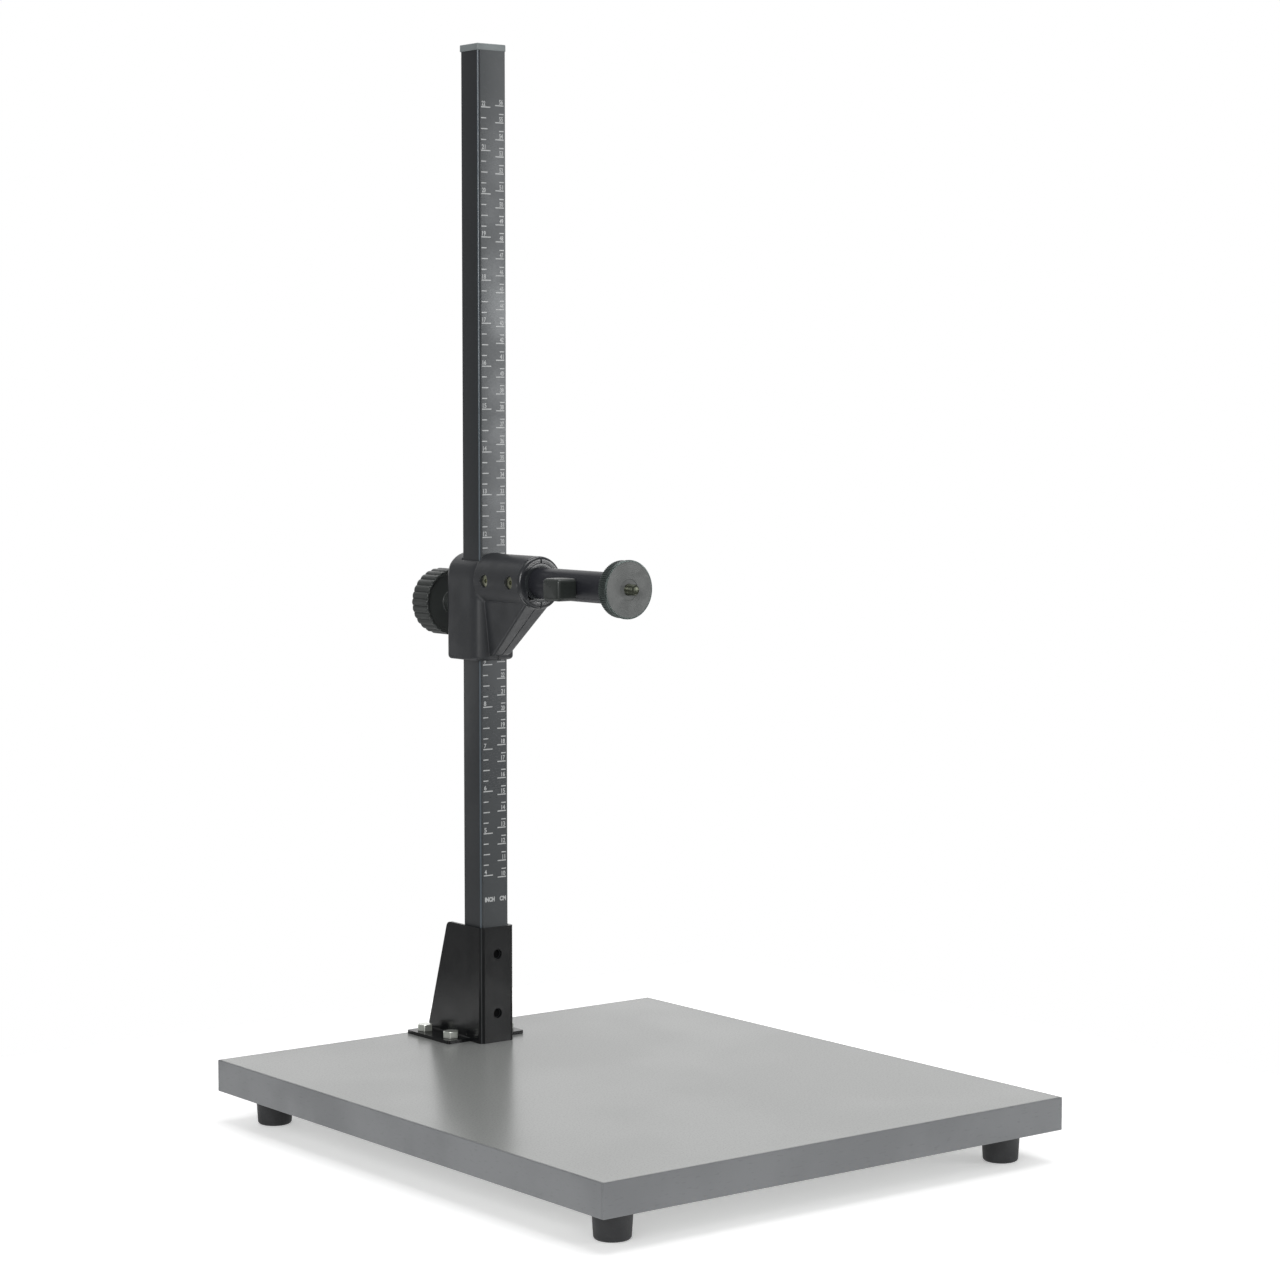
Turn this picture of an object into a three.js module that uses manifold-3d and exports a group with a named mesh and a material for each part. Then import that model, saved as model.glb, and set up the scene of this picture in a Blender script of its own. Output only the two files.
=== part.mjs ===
// A copy stand: a baseboard on four rubber feet, an upright column with a carriage that slides on it,
// and an arm with a camera screw at its end. Millimetres, Z up, X to the right, Y to the back.
// The origin is on the floor, under the middle of the baseboard.
import * as THREE from "three";
import { ConvexGeometry } from "three/addons/geometries/ConvexGeometry.js";
import { mergeVertices } from "three/addons/utils/BufferGeometryUtils.js";
import Module from "manifold-3d";

// Clearances
const seatGap = 0.05; // between pieces that are glued, screwed or pressed face to face
const slideGap = 0.3; // between the sleeve and the column
const threadGap = 0.1; // round a screw in its thread
const holeGap = 0.3; // round a screw in a through hole
const runningGap = 0.08; // round a shaft in its bush
const overrun = 1; // how far a cut runs past the piece that it cuts
const leastEdge = 0.001; // points closer than this are one

// Baseboard
const boardWidth = 320;
const boardDepth = 375;
const boardThickness = 18.5;
const edgeBandThickness = 1;

// Feet
const footInset = 24; // from both edges of the board to a foot's axis
const footHeight = 18.1;
const footTopRadius = 10.9;
const footBottomRadius = 9.8;
const footEdgeRound = 1.8;
const footRecessRadius = 5.5;
const footRecessDepth = 9;
const footWasherRadius = 5.2;
const footWasherThickness = 1.2;
const footScrewRadius = 2.1;
const footScrewHeadRadius = 4;
const footScrewHeadHeight = 2.6;
const footScrewLength = 25;

// Column
const columnWidth = 20;
const columnTubeDepth = 18;
const columnWall = 1.5;
const columnLength = 592;
const columnCorner = 1.5;
const scaleWidth = 18; // of the plate that bears the scale, on the column's front
const scaleThickness = 1.2;
const scaleEdgeRound = 0.4; // of its front edges
const columnSetback = 36.95; // from the board's back edge to the column's back face
const capThickness = 4;
const capOverhang = 0.35;
const capCorner = 0.8;
const capRound = 0.4;
const capPlugLength = 12;
const capPlugWall = 1.6;

// Bracket at the foot of the column
const bracketHeight = 70.2;
const bracketThickness = 2;
const bracketBend = 2.6; // outside radius of its bends
const bracketSideGap = 0.1; // from its side plates to the column
const bracketTopReach = 36; // depth of a side plate at the top
const bracketFootReach = 57; // depth of a side plate at the board
const bracketTopRound = 4;
const flangeWidth = 15.9; // outwards from the side plate
const flangeSetback = 12; // from the front plate to the flange's front end
const flangeCorner = 1.5;
const plateHoleRadius = 3;
const lowerHoleHeight = 17.6;
const upperHoleHeight = 53.5;
const flangeScrewInset = 8.7; // from the flange's ends
const flangeScrewReach = 8.1; // from the side plate
const flangeScrewRadius = 2.2;
const flangeScrewLength = 14;
const flangeScrewFlats = 8.8;
const flangeScrewHeadHeight = 4;
const flangeScrewChamfer = 0.5;
const flangeScrewTurns = { front_left: 22, front_right: 5, back_left: 22, back_right: 47 }; // degrees
const columnScrewRadius = 2.5;
const columnScrewHeadRadius = 4.2;
const columnScrewHeadHeight = 2.8;
const columnScrewRecess = 1.8; // its end, below the face of the front plate

// Carriage housing, in two halves
const armHeight = 279.5; // from the board's top to the arm's axis, as photographed
const housingRadius = 15.6; // of the arch and of the boss, and half the housing's width
const sleeveDrop = 48.3; // from the arm's axis to the sleeve's lower end
const sleeveFrontWall = 3.5;
const sleeveBackWall = 10.25;
const sleeveFrontCorner = 10;
const sleeveBackCorner = 4;
const housingRound = 3; // of its edges
const sleeveRimRound = 2.4; // of its lower rim
const bossReach = 47.3; // from the column's front face to the boss's mouth
const bossRound = 1.2;
const seamGap = 0.1;
const gussetToeDrop = 45.2; // from the arm's axis to the gusset's lowest point
const gussetFootDrop = 43.8; // to the lower end of its slanted face
const gussetFootReach = 8.8; // from the column's front face
const gussetHeadDrop = 12.1;
const gussetHeadReach = 45.3;
const gussetFootWidth = 13;
const gussetHeadWidth = 18.6;
const gussetRootWidth = 19.6;
const gussetRound = 1.4;
const pegRadius = 1.5;
const pegLength = 4;
const frontPegReach = 13; // from the column's front face
const frontPegDrop = 24;
const backPegDrop = 40;

// Cross screws through the housing and the arm tube
const backScrewReach = 10.6; // from the column's front face
const frontScrewReach = 35.7;
const crossScrewRadius = 2;
const crossScrewHeadRadius = 3.5;
const crossScrewHeadHeight = 2.4;
const crossScrewSeatWall = 2.3; // between the arm tube and the head
const crossScrewGrip = 11; // from the seam to the blind end of its thread
const socketFlats = 2.6;
const socketDepth = 2;

// Column clamp behind the carriage
const clampDrop = 15.55; // from the arm's axis to the clamp's axis
const clampPadSize = 14;
const clampPadThickness = 2.5;
const clampPadRound = 1;
const clampTravel = 1.9;
const clampNutFlats = 13;
const clampNutThickness = 6.5;
const clampNutWall = 1.2; // between the pad's pocket and the nut's pocket
const clampBossRadius = 9.2;
const clampBossLength = 5;
const clampStudRadius = 4;
const clampStudTipRadius = 3;
const clampStudTipLength = 2;
const knobSetback = 12.7; // from the housing's back to the knob's front face
const knobRadius = 20.2;
const knobLength = 17.2;
const knobFluteDepth = 0.9;
const knobRimRound = 2;
const knobFrontChamfer = 0.7;
const knobHubRadius = 7;
const knobHubLength = 4.6;
const knobDishDepth = 1.6;
const knobRimWidth = 3;
const knobBackRecess = 1.2;
const knobSocketDepth = 12;

// Arm tube
const armRadius = 9.1;
const armWall = 3;
const armSpigot = 42.3; // length inside the boss
const collarRadius = 10.8;
const collarLength = 3.2;
const collarRecess = 0.3; // from the boss's mouth to its front
const collarChamfer = 0.8;

// Camera wheel, pad, spindle and screw at the end of the arm
const cameraReach = 132.2; // from the column's front face to the camera pad's face
const padThickness = 1.2;
const padProud = 0.3; // of the wheel's lip
const padRadius = 15.85;
const padChamfer = 0.3;
const padHoleRadius = 6.2;
const wheelThickness = 7.5;
const wheelRadius = 16.85;
const wheelRimRadius = 16.5;
const wheelFlange = 1.3;
const wheelFlangeChamfer = 0.2;
const wheelGroove = 0.6;
const wheelGrooveDepth = 0.6;
const wheelToothDepth = 0.35;
const wheelChamfer = 0.5;
const spindleRadius = 4.7;
const spindleTail = 3; // behind the back bush
const bushLength = 12;
const backBushSetback = 50; // from the front end of the tube to the back bush's front end
const clipRadius = 5.4;
const clipThickness = 1;
const clipGrooveDepth = 0.7;
const clipSetback = 0.3; // behind the back bush
const cameraScrewRadius = 3.175;
const cameraScrewProud = 6;
const cameraScrewGrip = 8;
const cameraScrewRound = 1.5;

// Lock screw at the side of the arm
const lockSetback = 37.05; // from the front end of the tube to its axis
const lockDrop = 1.4; // from the arm's axis to its axis
const lockHeadLength = 15.7;
const lockHeadHeight = 13;
const lockHeadReach = 22.5; // from the arm's axis to its outer end
const lockHeadGap = 0.5; // between it and the tube
const lockHeadCorner = 2.4;
const lockHeadRound = 2.2;
const lockStemRadius = 3;
const lockStemGrip = 8; // length inside the head
const lockTipRadius = 2.4;
const lockTipLength = 2.4;

// Counts and shares
const facets = 36; // sides of a full circle
const smallFacets = 20; // of a small one
const screwFacets = 16; // of a screw's head
const leastFacets = 12; // of a hidden one
const hexagonSides = 6;
const cornerSteps = 4; // steps of a rounded corner
const roundSteps = 3; // steps of a rounded edge
const knobFlutes = 28;
const stepsPerFlute = 4;
const knobFluteSharpShare = 0.6;
const wheelTeeth = 54;
const quarterTurn = Math.PI / 2;

// Places that follow from the sizes
const boardTop = footHeight + boardThickness;
const columnBack = boardDepth / 2 - columnSetback;
const columnDepth = columnTubeDepth + seatGap + scaleThickness; // with the scale's plate
const columnAxis = columnBack - columnDepth / 2;
const columnFront = -columnDepth / 2; // from here on, measured from the column's axis
const sleeveFront = columnFront - slideGap - sleeveFrontWall;
const sleeveBack = columnDepth / 2 + slideGap + sleeveBackWall;
const bossMouth = columnFront - bossReach;
const padFace = columnFront - cameraReach;
const wheelFront = padFace + padProud;
const wheelFloor = padFace + padThickness + seatGap; // of the pad's recess
const wheelBack = wheelFront + wheelThickness;
const tubeFront = wheelBack + slideGap;
const tubeBack = bossMouth + armSpigot;
const tubeBore = armRadius - armWall;
const backBushFront = tubeFront + backBushSetback;
const crossScrewHeadEnd = armRadius + crossScrewSeatWall + crossScrewHeadHeight; // from the seam
const clipPlace = backBushFront + bushLength + clipSetback;
const spindleBack = clipPlace + clipThickness + spindleTail;
const lockPlace = tubeFront + lockSetback;
const bracketFace = columnFront - seatGap - bracketThickness;
const bracketInside = columnWidth / 2 + bracketSideGap;
const bracketOutside = bracketInside + bracketThickness;
const flangeEdge = bracketOutside + flangeWidth;
const flangeFront = bracketFace + flangeSetback;
const flangeBack = bracketFace + bracketFootReach;
const flangeScrewAcross = bracketOutside + flangeScrewReach;
const flangeScrewPlaces = [flangeFront + flangeScrewInset, flangeBack - flangeScrewInset];
const clampPadFront = columnDepth / 2 + seatGap;
const clampPadBack = clampPadFront + clampPadThickness;
const clampPocketBack = clampPadBack + clampTravel + slideGap;
const clampNutFront = clampPocketBack + clampNutWall;
const clampNutBack = clampNutFront + clampNutThickness + seatGap;
const clampBossBack = sleeveBack + clampBossLength;
const knobFront = sleeveBack + knobSetback;
const knobBack = knobFront + knobLength;
const crossScrewPlaces = { front: columnFront - frontScrewReach, back: columnFront - backScrewReach };

const wasm = await Module();
wasm.setup();

// A closed three.js geometry as a solid that can be joined and cut
function solidOf(geometry) {
  geometry.deleteAttribute("normal");
  geometry.deleteAttribute("uv");
  const merged = mergeVertices(geometry);
  const corners = merged.index.array;
  const triVerts = [];
  for (let i = 0; i < corners.length; i += 3) {
    const [a, b, c] = corners.slice(i, i + 3);
    if (a !== b && b !== c && c !== a) triVerts.push(a, b, c);
  }
  const mesh = new wasm.Mesh({
    numProp: 3,
    vertProperties: merged.attributes.position.array,
    triVerts: new Uint32Array(triVerts),
  });
  return new wasm.Manifold(mesh);
}

// The solid as a three.js geometry again, with flat faces
function geometryOf(solid) {
  const mesh = solid.getMesh();
  const geometry = new THREE.BufferGeometry();
  geometry.setAttribute("position", new THREE.BufferAttribute(mesh.vertProperties, mesh.numProp));
  geometry.setIndex(new THREE.BufferAttribute(mesh.triVerts, 1));
  const flat = geometry.toNonIndexed();
  flat.computeVertexNormals();
  return flat;
}

const join = (first, ...others) => others.reduce((sum, solid) => sum.add(solid), first);
const cut = (first, ...others) => others.reduce((rest, solid) => rest.subtract(solid), first);
const common = (first, ...others) => others.reduce((rest, solid) => rest.intersect(solid), first);

// A box between two limits on each axis
function block([left, right], [front, back], [bottom, top]) {
  const geometry = new THREE.BoxGeometry(right - left, back - front, top - bottom);
  geometry.translate((left + right) / 2, (front + back) / 2, (bottom + top) / 2);
  return solidOf(geometry);
}

// A profile of [radius, place] points, turned round an axis through (x, y, z)
function turned(profile, axis, { x = 0, y = 0, z = 0 } = {}, sides = facets) {
  const points = profile.map(([radius, place]) => new THREE.Vector2(radius, place));
  if (THREE.ShapeUtils.area(points) < 0) points.reverse();
  if (points[0].x > 0) points.push(points[0].clone());
  const geometry = new THREE.LatheGeometry(points, sides);
  if (axis === "z") geometry.rotateX(quarterTurn);
  if (axis === "x") geometry.rotateZ(-quarterTurn);
  geometry.translate(x, y, z);
  return solidOf(geometry);
}

// A round bar along an axis, from one place on it to another
function bar(axis, radius, from, to, place, sides) {
  const profile = [[0, from], [radius, from], [radius, to], [0, to]];
  return turned(profile, axis, place, sides);
}

// A six sided bar, by its width across flats
function hexagonalBar(axis, flats, from, to, place) {
  return bar(axis, flats / 2 / Math.cos(Math.PI / hexagonSides), from, to, place, hexagonSides);
}

// Points of a quarter arc from one angle to another, for the rounded edge of a turned profile
function arc(radius, place, round, fromAngle, toAngle) {
  return Array.from({ length: roundSteps + 1 }, (_, i) => {
    const angle = fromAngle + ((toAngle - fromAngle) * i) / roundSteps;
    return [radius + round * Math.cos(angle), place + round * Math.sin(angle)];
  });
}

// A closed outline through corners [x, y, radius, steps], where a corner with a radius is rounded
function outline(corners) {
  const points = corners.flatMap(([x, y, radius = 0, steps = cornerSteps], i) => {
    const here = new THREE.Vector2(x, y);
    if (radius === 0) return [here];
    const before = new THREE.Vector2(...corners.at(i - 1)).sub(here).normalize();
    const after = new THREE.Vector2(...corners[(i + 1) % corners.length]).sub(here).normalize();
    const halfAngle = Math.acos(before.dot(after)) / 2;
    const reach = radius / Math.tan(halfAngle);
    const middle = before.clone().add(after).normalize();
    middle.multiplyScalar(radius / Math.sin(halfAngle)).add(here);
    const start = before.clone().multiplyScalar(reach).add(here).sub(middle);
    const end = after.clone().multiplyScalar(reach).add(here).sub(middle);
    const sweep = Math.atan2(start.cross(end), start.dot(end));
    return Array.from({ length: steps + 1 }, (_, k) =>
      start.clone().rotateAround(new THREE.Vector2(), (sweep * k) / steps).add(middle),
    );
  });
  const apart = points.filter((point, i) => point.distanceTo(points.at(i - 1)) > leastEdge);
  return new THREE.Shape(apart);
}

// The corners of a rectangle round the origin, for an outline
function rectangle(width, depth, radius) {
  const [x, y] = [width / 2, depth / 2];
  return [[-x, -y, radius], [x, -y, radius], [x, y, radius], [-x, y, radius]];
}

// An outline pushed through along an axis, with its end edges rounded where round is given.
// The outline is drawn in x and y for axis z, in x and z for axis y, and in y and z for axis x.
function prism(shape, axis, from, to, round = 0) {
  const settings = {
    depth: to - from - 2 * round,
    bevelEnabled: round > 0,
    bevelThickness: round,
    bevelSize: round,
    bevelOffset: -round,
    bevelSegments: roundSteps,
  };
  const geometry = new THREE.ExtrudeGeometry(shape, settings);
  if (axis === "y") {
    geometry.translate(0, 0, round - to);
    geometry.rotateX(quarterTurn);
  } else {
    geometry.translate(0, 0, from + round);
  }
  if (axis === "x") {
    const sideView = new THREE.Matrix4().makeBasis(
      new THREE.Vector3(0, 1, 0),
      new THREE.Vector3(0, 0, 1),
      new THREE.Vector3(1, 0, 0),
    );
    geometry.applyMatrix4(sideView);
  }
  return solidOf(geometry);
}

const mirrored = (solid) => solid.mirror([1, 0, 0]);

// Adds a named piece with a material of its own to a group
function addPiece(group, name, solid, [color, roughness, metalness]) {
  const material = new THREE.MeshStandardMaterial({ color, roughness, metalness });
  const mesh = new THREE.Mesh(geometryOf(solid), material);
  mesh.name = name;
  group.add(mesh);
  return mesh;
}

// Finishes: colour, roughness, metalness
const greyLaminate = [0xb7b8b9, 0.55, 0];
const greyEdge = [0x70757a, 0.5, 0];
const blackRubber = [0x1c1c1d, 0.8, 0];
const zincSteel = [0xc9cccd, 0.3, 1];
const blackCoat = [0x17181a, 0.45, 0.1];
const printedPlate = [0x686b6c, 0.45, 0.3];
const greyPlastic = [0x767c7c, 0.5, 0];
const blackSteel = [0x1d1e20, 0.35, 0.6];
const charcoalHousing = [0x303235, 0.5, 0];
const blackPlastic = [0x2a2c2d, 0.5, 0];
const brass = [0xb08d3c, 0.35, 1];
const greyRubber = [0x6a6c6c, 0.75, 0];
const bronzedSteel = [0x4c463a, 0.35, 1];
const palePlastic = [0xd8d6cc, 0.5, 0];

// The baseboard's core, with pilot holes for the screws of the feet and of the bracket
function boardCore() {
  const [x, y] = [boardWidth / 2, boardDepth / 2].map((half) => half - edgeBandThickness - seatGap);
  const holeEnd = footHeight - footRecessLeft() + footScrewLength + overrun;
  const footHoles = footPlaces().map(([, place]) =>
    bar("z", footScrewRadius + threadGap, footHeight - overrun, holeEnd, place, leastFacets),
  );
  const screwHoles = flangeScrewPlaces.flatMap((y) =>
    [-flangeScrewAcross, flangeScrewAcross].map((x) => {
      const place = { x, y: columnAxis + y };
      const [from, to] = [boardTop - flangeScrewLength, boardTop + overrun];
      return bar("z", flangeScrewRadius + threadGap, from, to, place, leastFacets);
    }),
  );
  return cut(block([-x, x], [-y, y], [footHeight, boardTop]), ...footHoles, ...screwHoles);
}

// Height of a foot's web between the recess and the board
function footRecessLeft() {
  return footHeight - footRecessDepth + footWasherThickness + 2 * seatGap;
}

// The four corners where the feet stand, with their names
function footPlaces() {
  const [x, y] = [boardWidth / 2 - footInset, boardDepth / 2 - footInset];
  return [
    ["front_left", { x: -x, y: -y }],
    ["front_right", { x, y: -y }],
    ["back_left", { x: -x, y }],
    ["back_right", { x, y }],
  ];
}

// The four edge bands; the front and back ones cover the ends of the others
function edgeBands() {
  const [x, y] = [boardWidth / 2, boardDepth / 2];
  const [innerX, innerY] = [x - edgeBandThickness, y - edgeBandThickness];
  const height = [footHeight, boardTop];
  const along = [seatGap - innerY, innerY - seatGap];
  return {
    front: block([-x, x], [-y, -innerY], height),
    back: block([-x, x], [innerY, y], height),
    left: block([-x, -innerX], along, height),
    right: block([innerX, x], along, height),
  };
}

// A tapered rubber foot with a screw recess in its underside
function foot() {
  const bore = footScrewRadius + holeGap;
  const top = footHeight - seatGap;
  const rounded = arc(footBottomRadius - footEdgeRound, footEdgeRound, footEdgeRound, -quarterTurn, 0);
  const profile = [
    [footRecessRadius, 0],
    ...rounded,
    [footTopRadius, top],
    [bore, top],
    [bore, footRecessDepth],
    [footRecessRadius, footRecessDepth],
  ];
  return turned(profile, "z", {}, smallFacets);
}

function footWasher() {
  const top = footRecessDepth - seatGap;
  const bottom = top - footWasherThickness;
  const bore = footScrewRadius + holeGap;
  const profile = [[bore, bottom], [footWasherRadius, bottom], [footWasherRadius, top], [bore, top]];
  return turned(profile, "z", {}, leastFacets);
}

// A pan head wood screw, head down, under the foot's washer
function footScrew() {
  const seat = footRecessDepth - footWasherThickness - 2 * seatGap;
  const tip = seat + footScrewLength;
  const round = footScrewHeadHeight / 2;
  const head = arc(footScrewHeadRadius - round, seat - footScrewHeadHeight + round, round, -quarterTurn, 0);
  const profile = [
    [0, seat - footScrewHeadHeight],
    ...head,
    [footScrewHeadRadius, seat],
    [footScrewRadius, seat],
    [footScrewRadius, tip - 2 * footScrewRadius],
    [0, tip],
  ];
  return turned(profile, "z", {}, leastFacets);
}

// The outline of the column tube, made larger all round by an offset
function columnShape(offset, corner) {
  return outline(rectangle(columnWidth + 2 * offset, columnTubeDepth + 2 * offset, corner));
}

// Through the column from front to back, for the two screws
function columnScrewHoles() {
  return [lowerHoleHeight, upperHoleHeight].map((z) =>
    bar("y", columnScrewRadius + holeGap, -columnDepth, columnDepth, { z }, leastFacets),
  );
}

// The column tube stands behind the plate with the scale
function columnTube() {
  const tube = prism(columnShape(0, columnCorner), "z", 0, columnLength);
  const bore = prism(columnShape(-columnWall), "z", -overrun, columnLength + overrun);
  const walls = cut(tube, bore).translate([0, (columnDepth - columnTubeDepth) / 2, 0]);
  return cut(walls, ...columnScrewHoles());
}

// The plate that bears the scale
function columnScale() {
  const [half, back] = [scaleWidth / 2, columnFront + scaleThickness];
  const shape = outline([
    [-half, columnFront, scaleEdgeRound],
    [half, columnFront, scaleEdgeRound],
    [half, back],
    [-half, back],
  ]);
  return cut(prism(shape, "z", 0, columnLength), ...columnScrewHoles());
}

// The end cap: a plate over the tube's end and a hollow plug inside it
function columnCap() {
  const bottom = columnLength + seatGap;
  const plate = prism(columnShape(capOverhang, capCorner), "z", bottom, bottom + capThickness, capRound);
  const plugOffset = -columnWall - threadGap;
  const plugBottom = columnLength - capPlugLength;
  const plug = prism(columnShape(plugOffset), "z", plugBottom, bottom + capThickness / 2);
  const hollow = prism(columnShape(plugOffset - capPlugWall), "z", plugBottom - overrun, bottom);
  return cut(join(plate, plug), hollow).translate([0, (columnDepth - columnTubeDepth) / 2, 0]);
}

// The bracket, bent from sheet: a front plate, side plates that widen to the foot, and two flanges
function columnBracket() {
  const back = bracketFace + bracketFootReach;
  const inBend = bracketBend - bracketThickness;
  const inner = bracketFace + bracketThickness;
  const channel = outline([
    [-bracketOutside, bracketFace, bracketBend],
    [bracketOutside, bracketFace, bracketBend],
    [bracketOutside, back],
    [bracketInside, back],
    [bracketInside, inner, inBend],
    [-bracketInside, inner, inBend],
    [-bracketInside, back],
    [-bracketOutside, back],
  ]);
  const sideView = outline([
    [bracketFace - overrun, 0],
    [back, 0],
    [back, bracketBend],
    [bracketFace + bracketTopReach, bracketHeight, bracketTopRound],
    [bracketFace - overrun, bracketHeight],
  ]);
  const walls = common(
    prism(channel, "z", 0, bracketHeight),
    prism(sideView, "x", -bracketOutside - overrun, bracketOutside + overrun),
  );
  const relief = block(
    [-bracketOutside - overrun, bracketOutside + overrun],
    [flangeFront, back + overrun],
    [-overrun, bracketBend],
  );
  const foldShape = outline([
    [bracketInside, bracketBend + bracketThickness],
    [bracketInside, 0, bracketBend],
    [flangeEdge, 0],
    [flangeEdge, bracketThickness],
    [bracketOutside, bracketThickness, inBend],
    [bracketOutside, bracketBend + bracketThickness],
  ]);
  const corners = outline([
    [0, flangeFront],
    [flangeEdge, flangeFront, flangeCorner],
    [flangeEdge, back, flangeCorner],
    [0, back],
  ]);
  const fold = common(
    prism(foldShape, "y", flangeFront, back),
    prism(corners, "z", -overrun, bracketBend + bracketThickness + overrun),
    prism(sideView, "x", 0, flangeEdge + overrun),
  );
  const plateHoles = [lowerHoleHeight, upperHoleHeight].map((z) =>
    bar("y", plateHoleRadius, bracketFace - overrun, inner + overrun, { z }, smallFacets),
  );
  const flangeHoles = flangeScrewPlaces.flatMap((y) =>
    [-flangeScrewAcross, flangeScrewAcross].map((x) =>
      bar("z", flangeScrewRadius + holeGap, -overrun, bracketThickness + overrun, { x, y }, leastFacets),
    ),
  );
  return cut(join(cut(walls, relief), fold, mirrored(fold)), ...plateHoles, ...flangeHoles);
}

// A hexagon headed wood screw on the bracket's flange, its head turned by an angle
function flangeScrew(turn) {
  const seat = bracketThickness + seatGap;
  const top = seat + flangeScrewHeadHeight;
  const shankEnd = bracketThickness - flangeScrewLength;
  const profile = [
    [0, shankEnd],
    [flangeScrewRadius, shankEnd + 2 * flangeScrewRadius],
    [flangeScrewRadius, seat],
    [flangeScrewFlats, seat],
    [flangeScrewFlats / 2 + flangeScrewChamfer, top - flangeScrewChamfer],
    [flangeScrewFlats / 2, top],
    [0, top],
  ];
  const sides = hexagonalBar("z", flangeScrewFlats, shankEnd, top).rotate([0, 0, turn]);
  return common(turned(profile, "z", {}, screwFacets), sides);
}

// A screw from the back of the column into the hole of the bracket's front plate
function columnScrew() {
  const seat = columnDepth / 2 + seatGap;
  const top = seat + columnScrewHeadHeight;
  const round = columnScrewHeadHeight / 2;
  const profile = [
    [0, bracketFace + columnScrewRecess],
    [columnScrewRadius, bracketFace + columnScrewRecess],
    [columnScrewRadius, seat],
    [columnScrewHeadRadius, seat],
    ...arc(columnScrewHeadRadius - round, top - round, round, 0, quarterTurn),
    [0, top],
  ];
  const socket = hexagonalBar("y", socketFlats, top - socketDepth, top + overrun);
  return cut(turned(profile, "y", {}, screwFacets), socket);
}

// The carriage housing before it is parted: sleeve, arched top, boss for the arm, gusset and clamp boss
function housingBody() {
  const below = -sleeveDrop - housingRadius;
  const archShape = outline([
    [-housingRadius, below],
    [housingRadius, below],
    [housingRadius, housingRadius, housingRadius, facets / 4],
    [-housingRadius, housingRadius, housingRadius, facets / 4],
  ]);
  const planShape = outline([
    [-housingRadius, sleeveFront, sleeveFrontCorner],
    [housingRadius, sleeveFront, sleeveFrontCorner],
    [housingRadius, sleeveBack, sleeveBackCorner],
    [-housingRadius, sleeveBack, sleeveBackCorner],
  ]);
  const sleeve = common(
    prism(archShape, "y", sleeveFront, sleeveBack, housingRound),
    prism(planShape, "z", -sleeveDrop, housingRadius + sleeveRimRound + overrun, sleeveRimRound),
  );
  const boss = turned(
    [
      [0, bossMouth],
      ...arc(housingRadius - bossRound, bossMouth + bossRound, bossRound, -quarterTurn, 0),
      [housingRadius, columnFront - slideGap],
      [0, columnFront - slideGap],
    ],
    "y",
  );
  const clampBoss = bar("y", clampBossRadius, 0, clampBossBack, { z: -clampDrop });
  return join(sleeve, boss, gusset(), clampBoss);
}

// The web under the boss: its slanted front face is narrow at the foot and wide at the head
function gusset() {
  const root = columnFront - slideGap;
  const foot = columnFront - gussetFootReach;
  const head = columnFront - gussetHeadReach;
  const points = [];
  const addEdge = (halfWidth, y, z) => {
    const corner = arc(halfWidth - gussetRound, y + gussetRound, gussetRound, -quarterTurn, 0);
    for (const side of [-1, 1])
      for (const [across, along] of corner) points.push(new THREE.Vector3(side * across, along, z));
  };
  addEdge(gussetFootWidth / 2, foot, -gussetFootDrop);
  addEdge(gussetFootWidth / 2, foot + gussetRound, -gussetToeDrop);
  addEdge(gussetHeadWidth / 2, head, -gussetHeadDrop);
  addEdge(gussetHeadWidth / 2, head, gussetHeadWidth / 2 - gussetHeadDrop);
  for (const side of [-1, 1]) {
    points.push(new THREE.Vector3((side * gussetFootWidth) / 2, root, -gussetToeDrop));
    points.push(new THREE.Vector3((side * gussetRootWidth) / 2, root, -gussetHeadDrop));
    points.push(new THREE.Vector3((side * gussetRootWidth) / 2, root, gussetHeadWidth / 2 - gussetHeadDrop));
  }
  return solidOf(new ConvexGeometry(points));
}

// What is taken out of the housing: the column's passage, the arm's bore and the pockets of the clamp
function housingHollow() {
  const [x, y] = [columnWidth / 2 + slideGap, columnDepth / 2 + slideGap];
  const passage = block([-x, x], [-y, y], [-sleeveDrop - overrun, housingRadius + overrun]);
  const armBore = bar("y", armRadius + threadGap, bossMouth - overrun, tubeBack + seatGap);
  const collarSeat = bossMouth + collarRecess + collarLength + seatGap;
  const collarBore = bar("y", collarRadius + threadGap, bossMouth - overrun, collarSeat);
  const pocketHalf = clampPadSize / 2 + slideGap;
  const pocket = block(
    [-pocketHalf, pocketHalf],
    [0, clampPocketBack],
    [-clampDrop - pocketHalf, pocketHalf - clampDrop],
  );
  const nutEnds = [clampNutFront, clampNutBack];
  const nutPocket = hexagonalBar("y", clampNutFlats + 2 * threadGap, ...nutEnds, { z: -clampDrop });
  const studEnds = [0, clampBossBack + overrun];
  const studHole = bar("y", clampStudRadius + holeGap, ...studEnds, { z: -clampDrop }, smallFacets);
  return join(passage, armBore, collarBore, pocket, nutPocket, studHole);
}

// The two pegs of the left half, or with a gap their sockets in the right half
function pegs(gap) {
  const places = [
    { y: columnFront - frontPegReach, z: -frontPegDrop },
    { y: sleeveBack - sleeveBackWall / 2, z: -backPegDrop },
  ];
  const rods = places.map((place) =>
    bar("x", pegRadius + gap, -pegLength, pegLength + gap, place, leastFacets),
  );
  return join(...rods);
}

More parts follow.
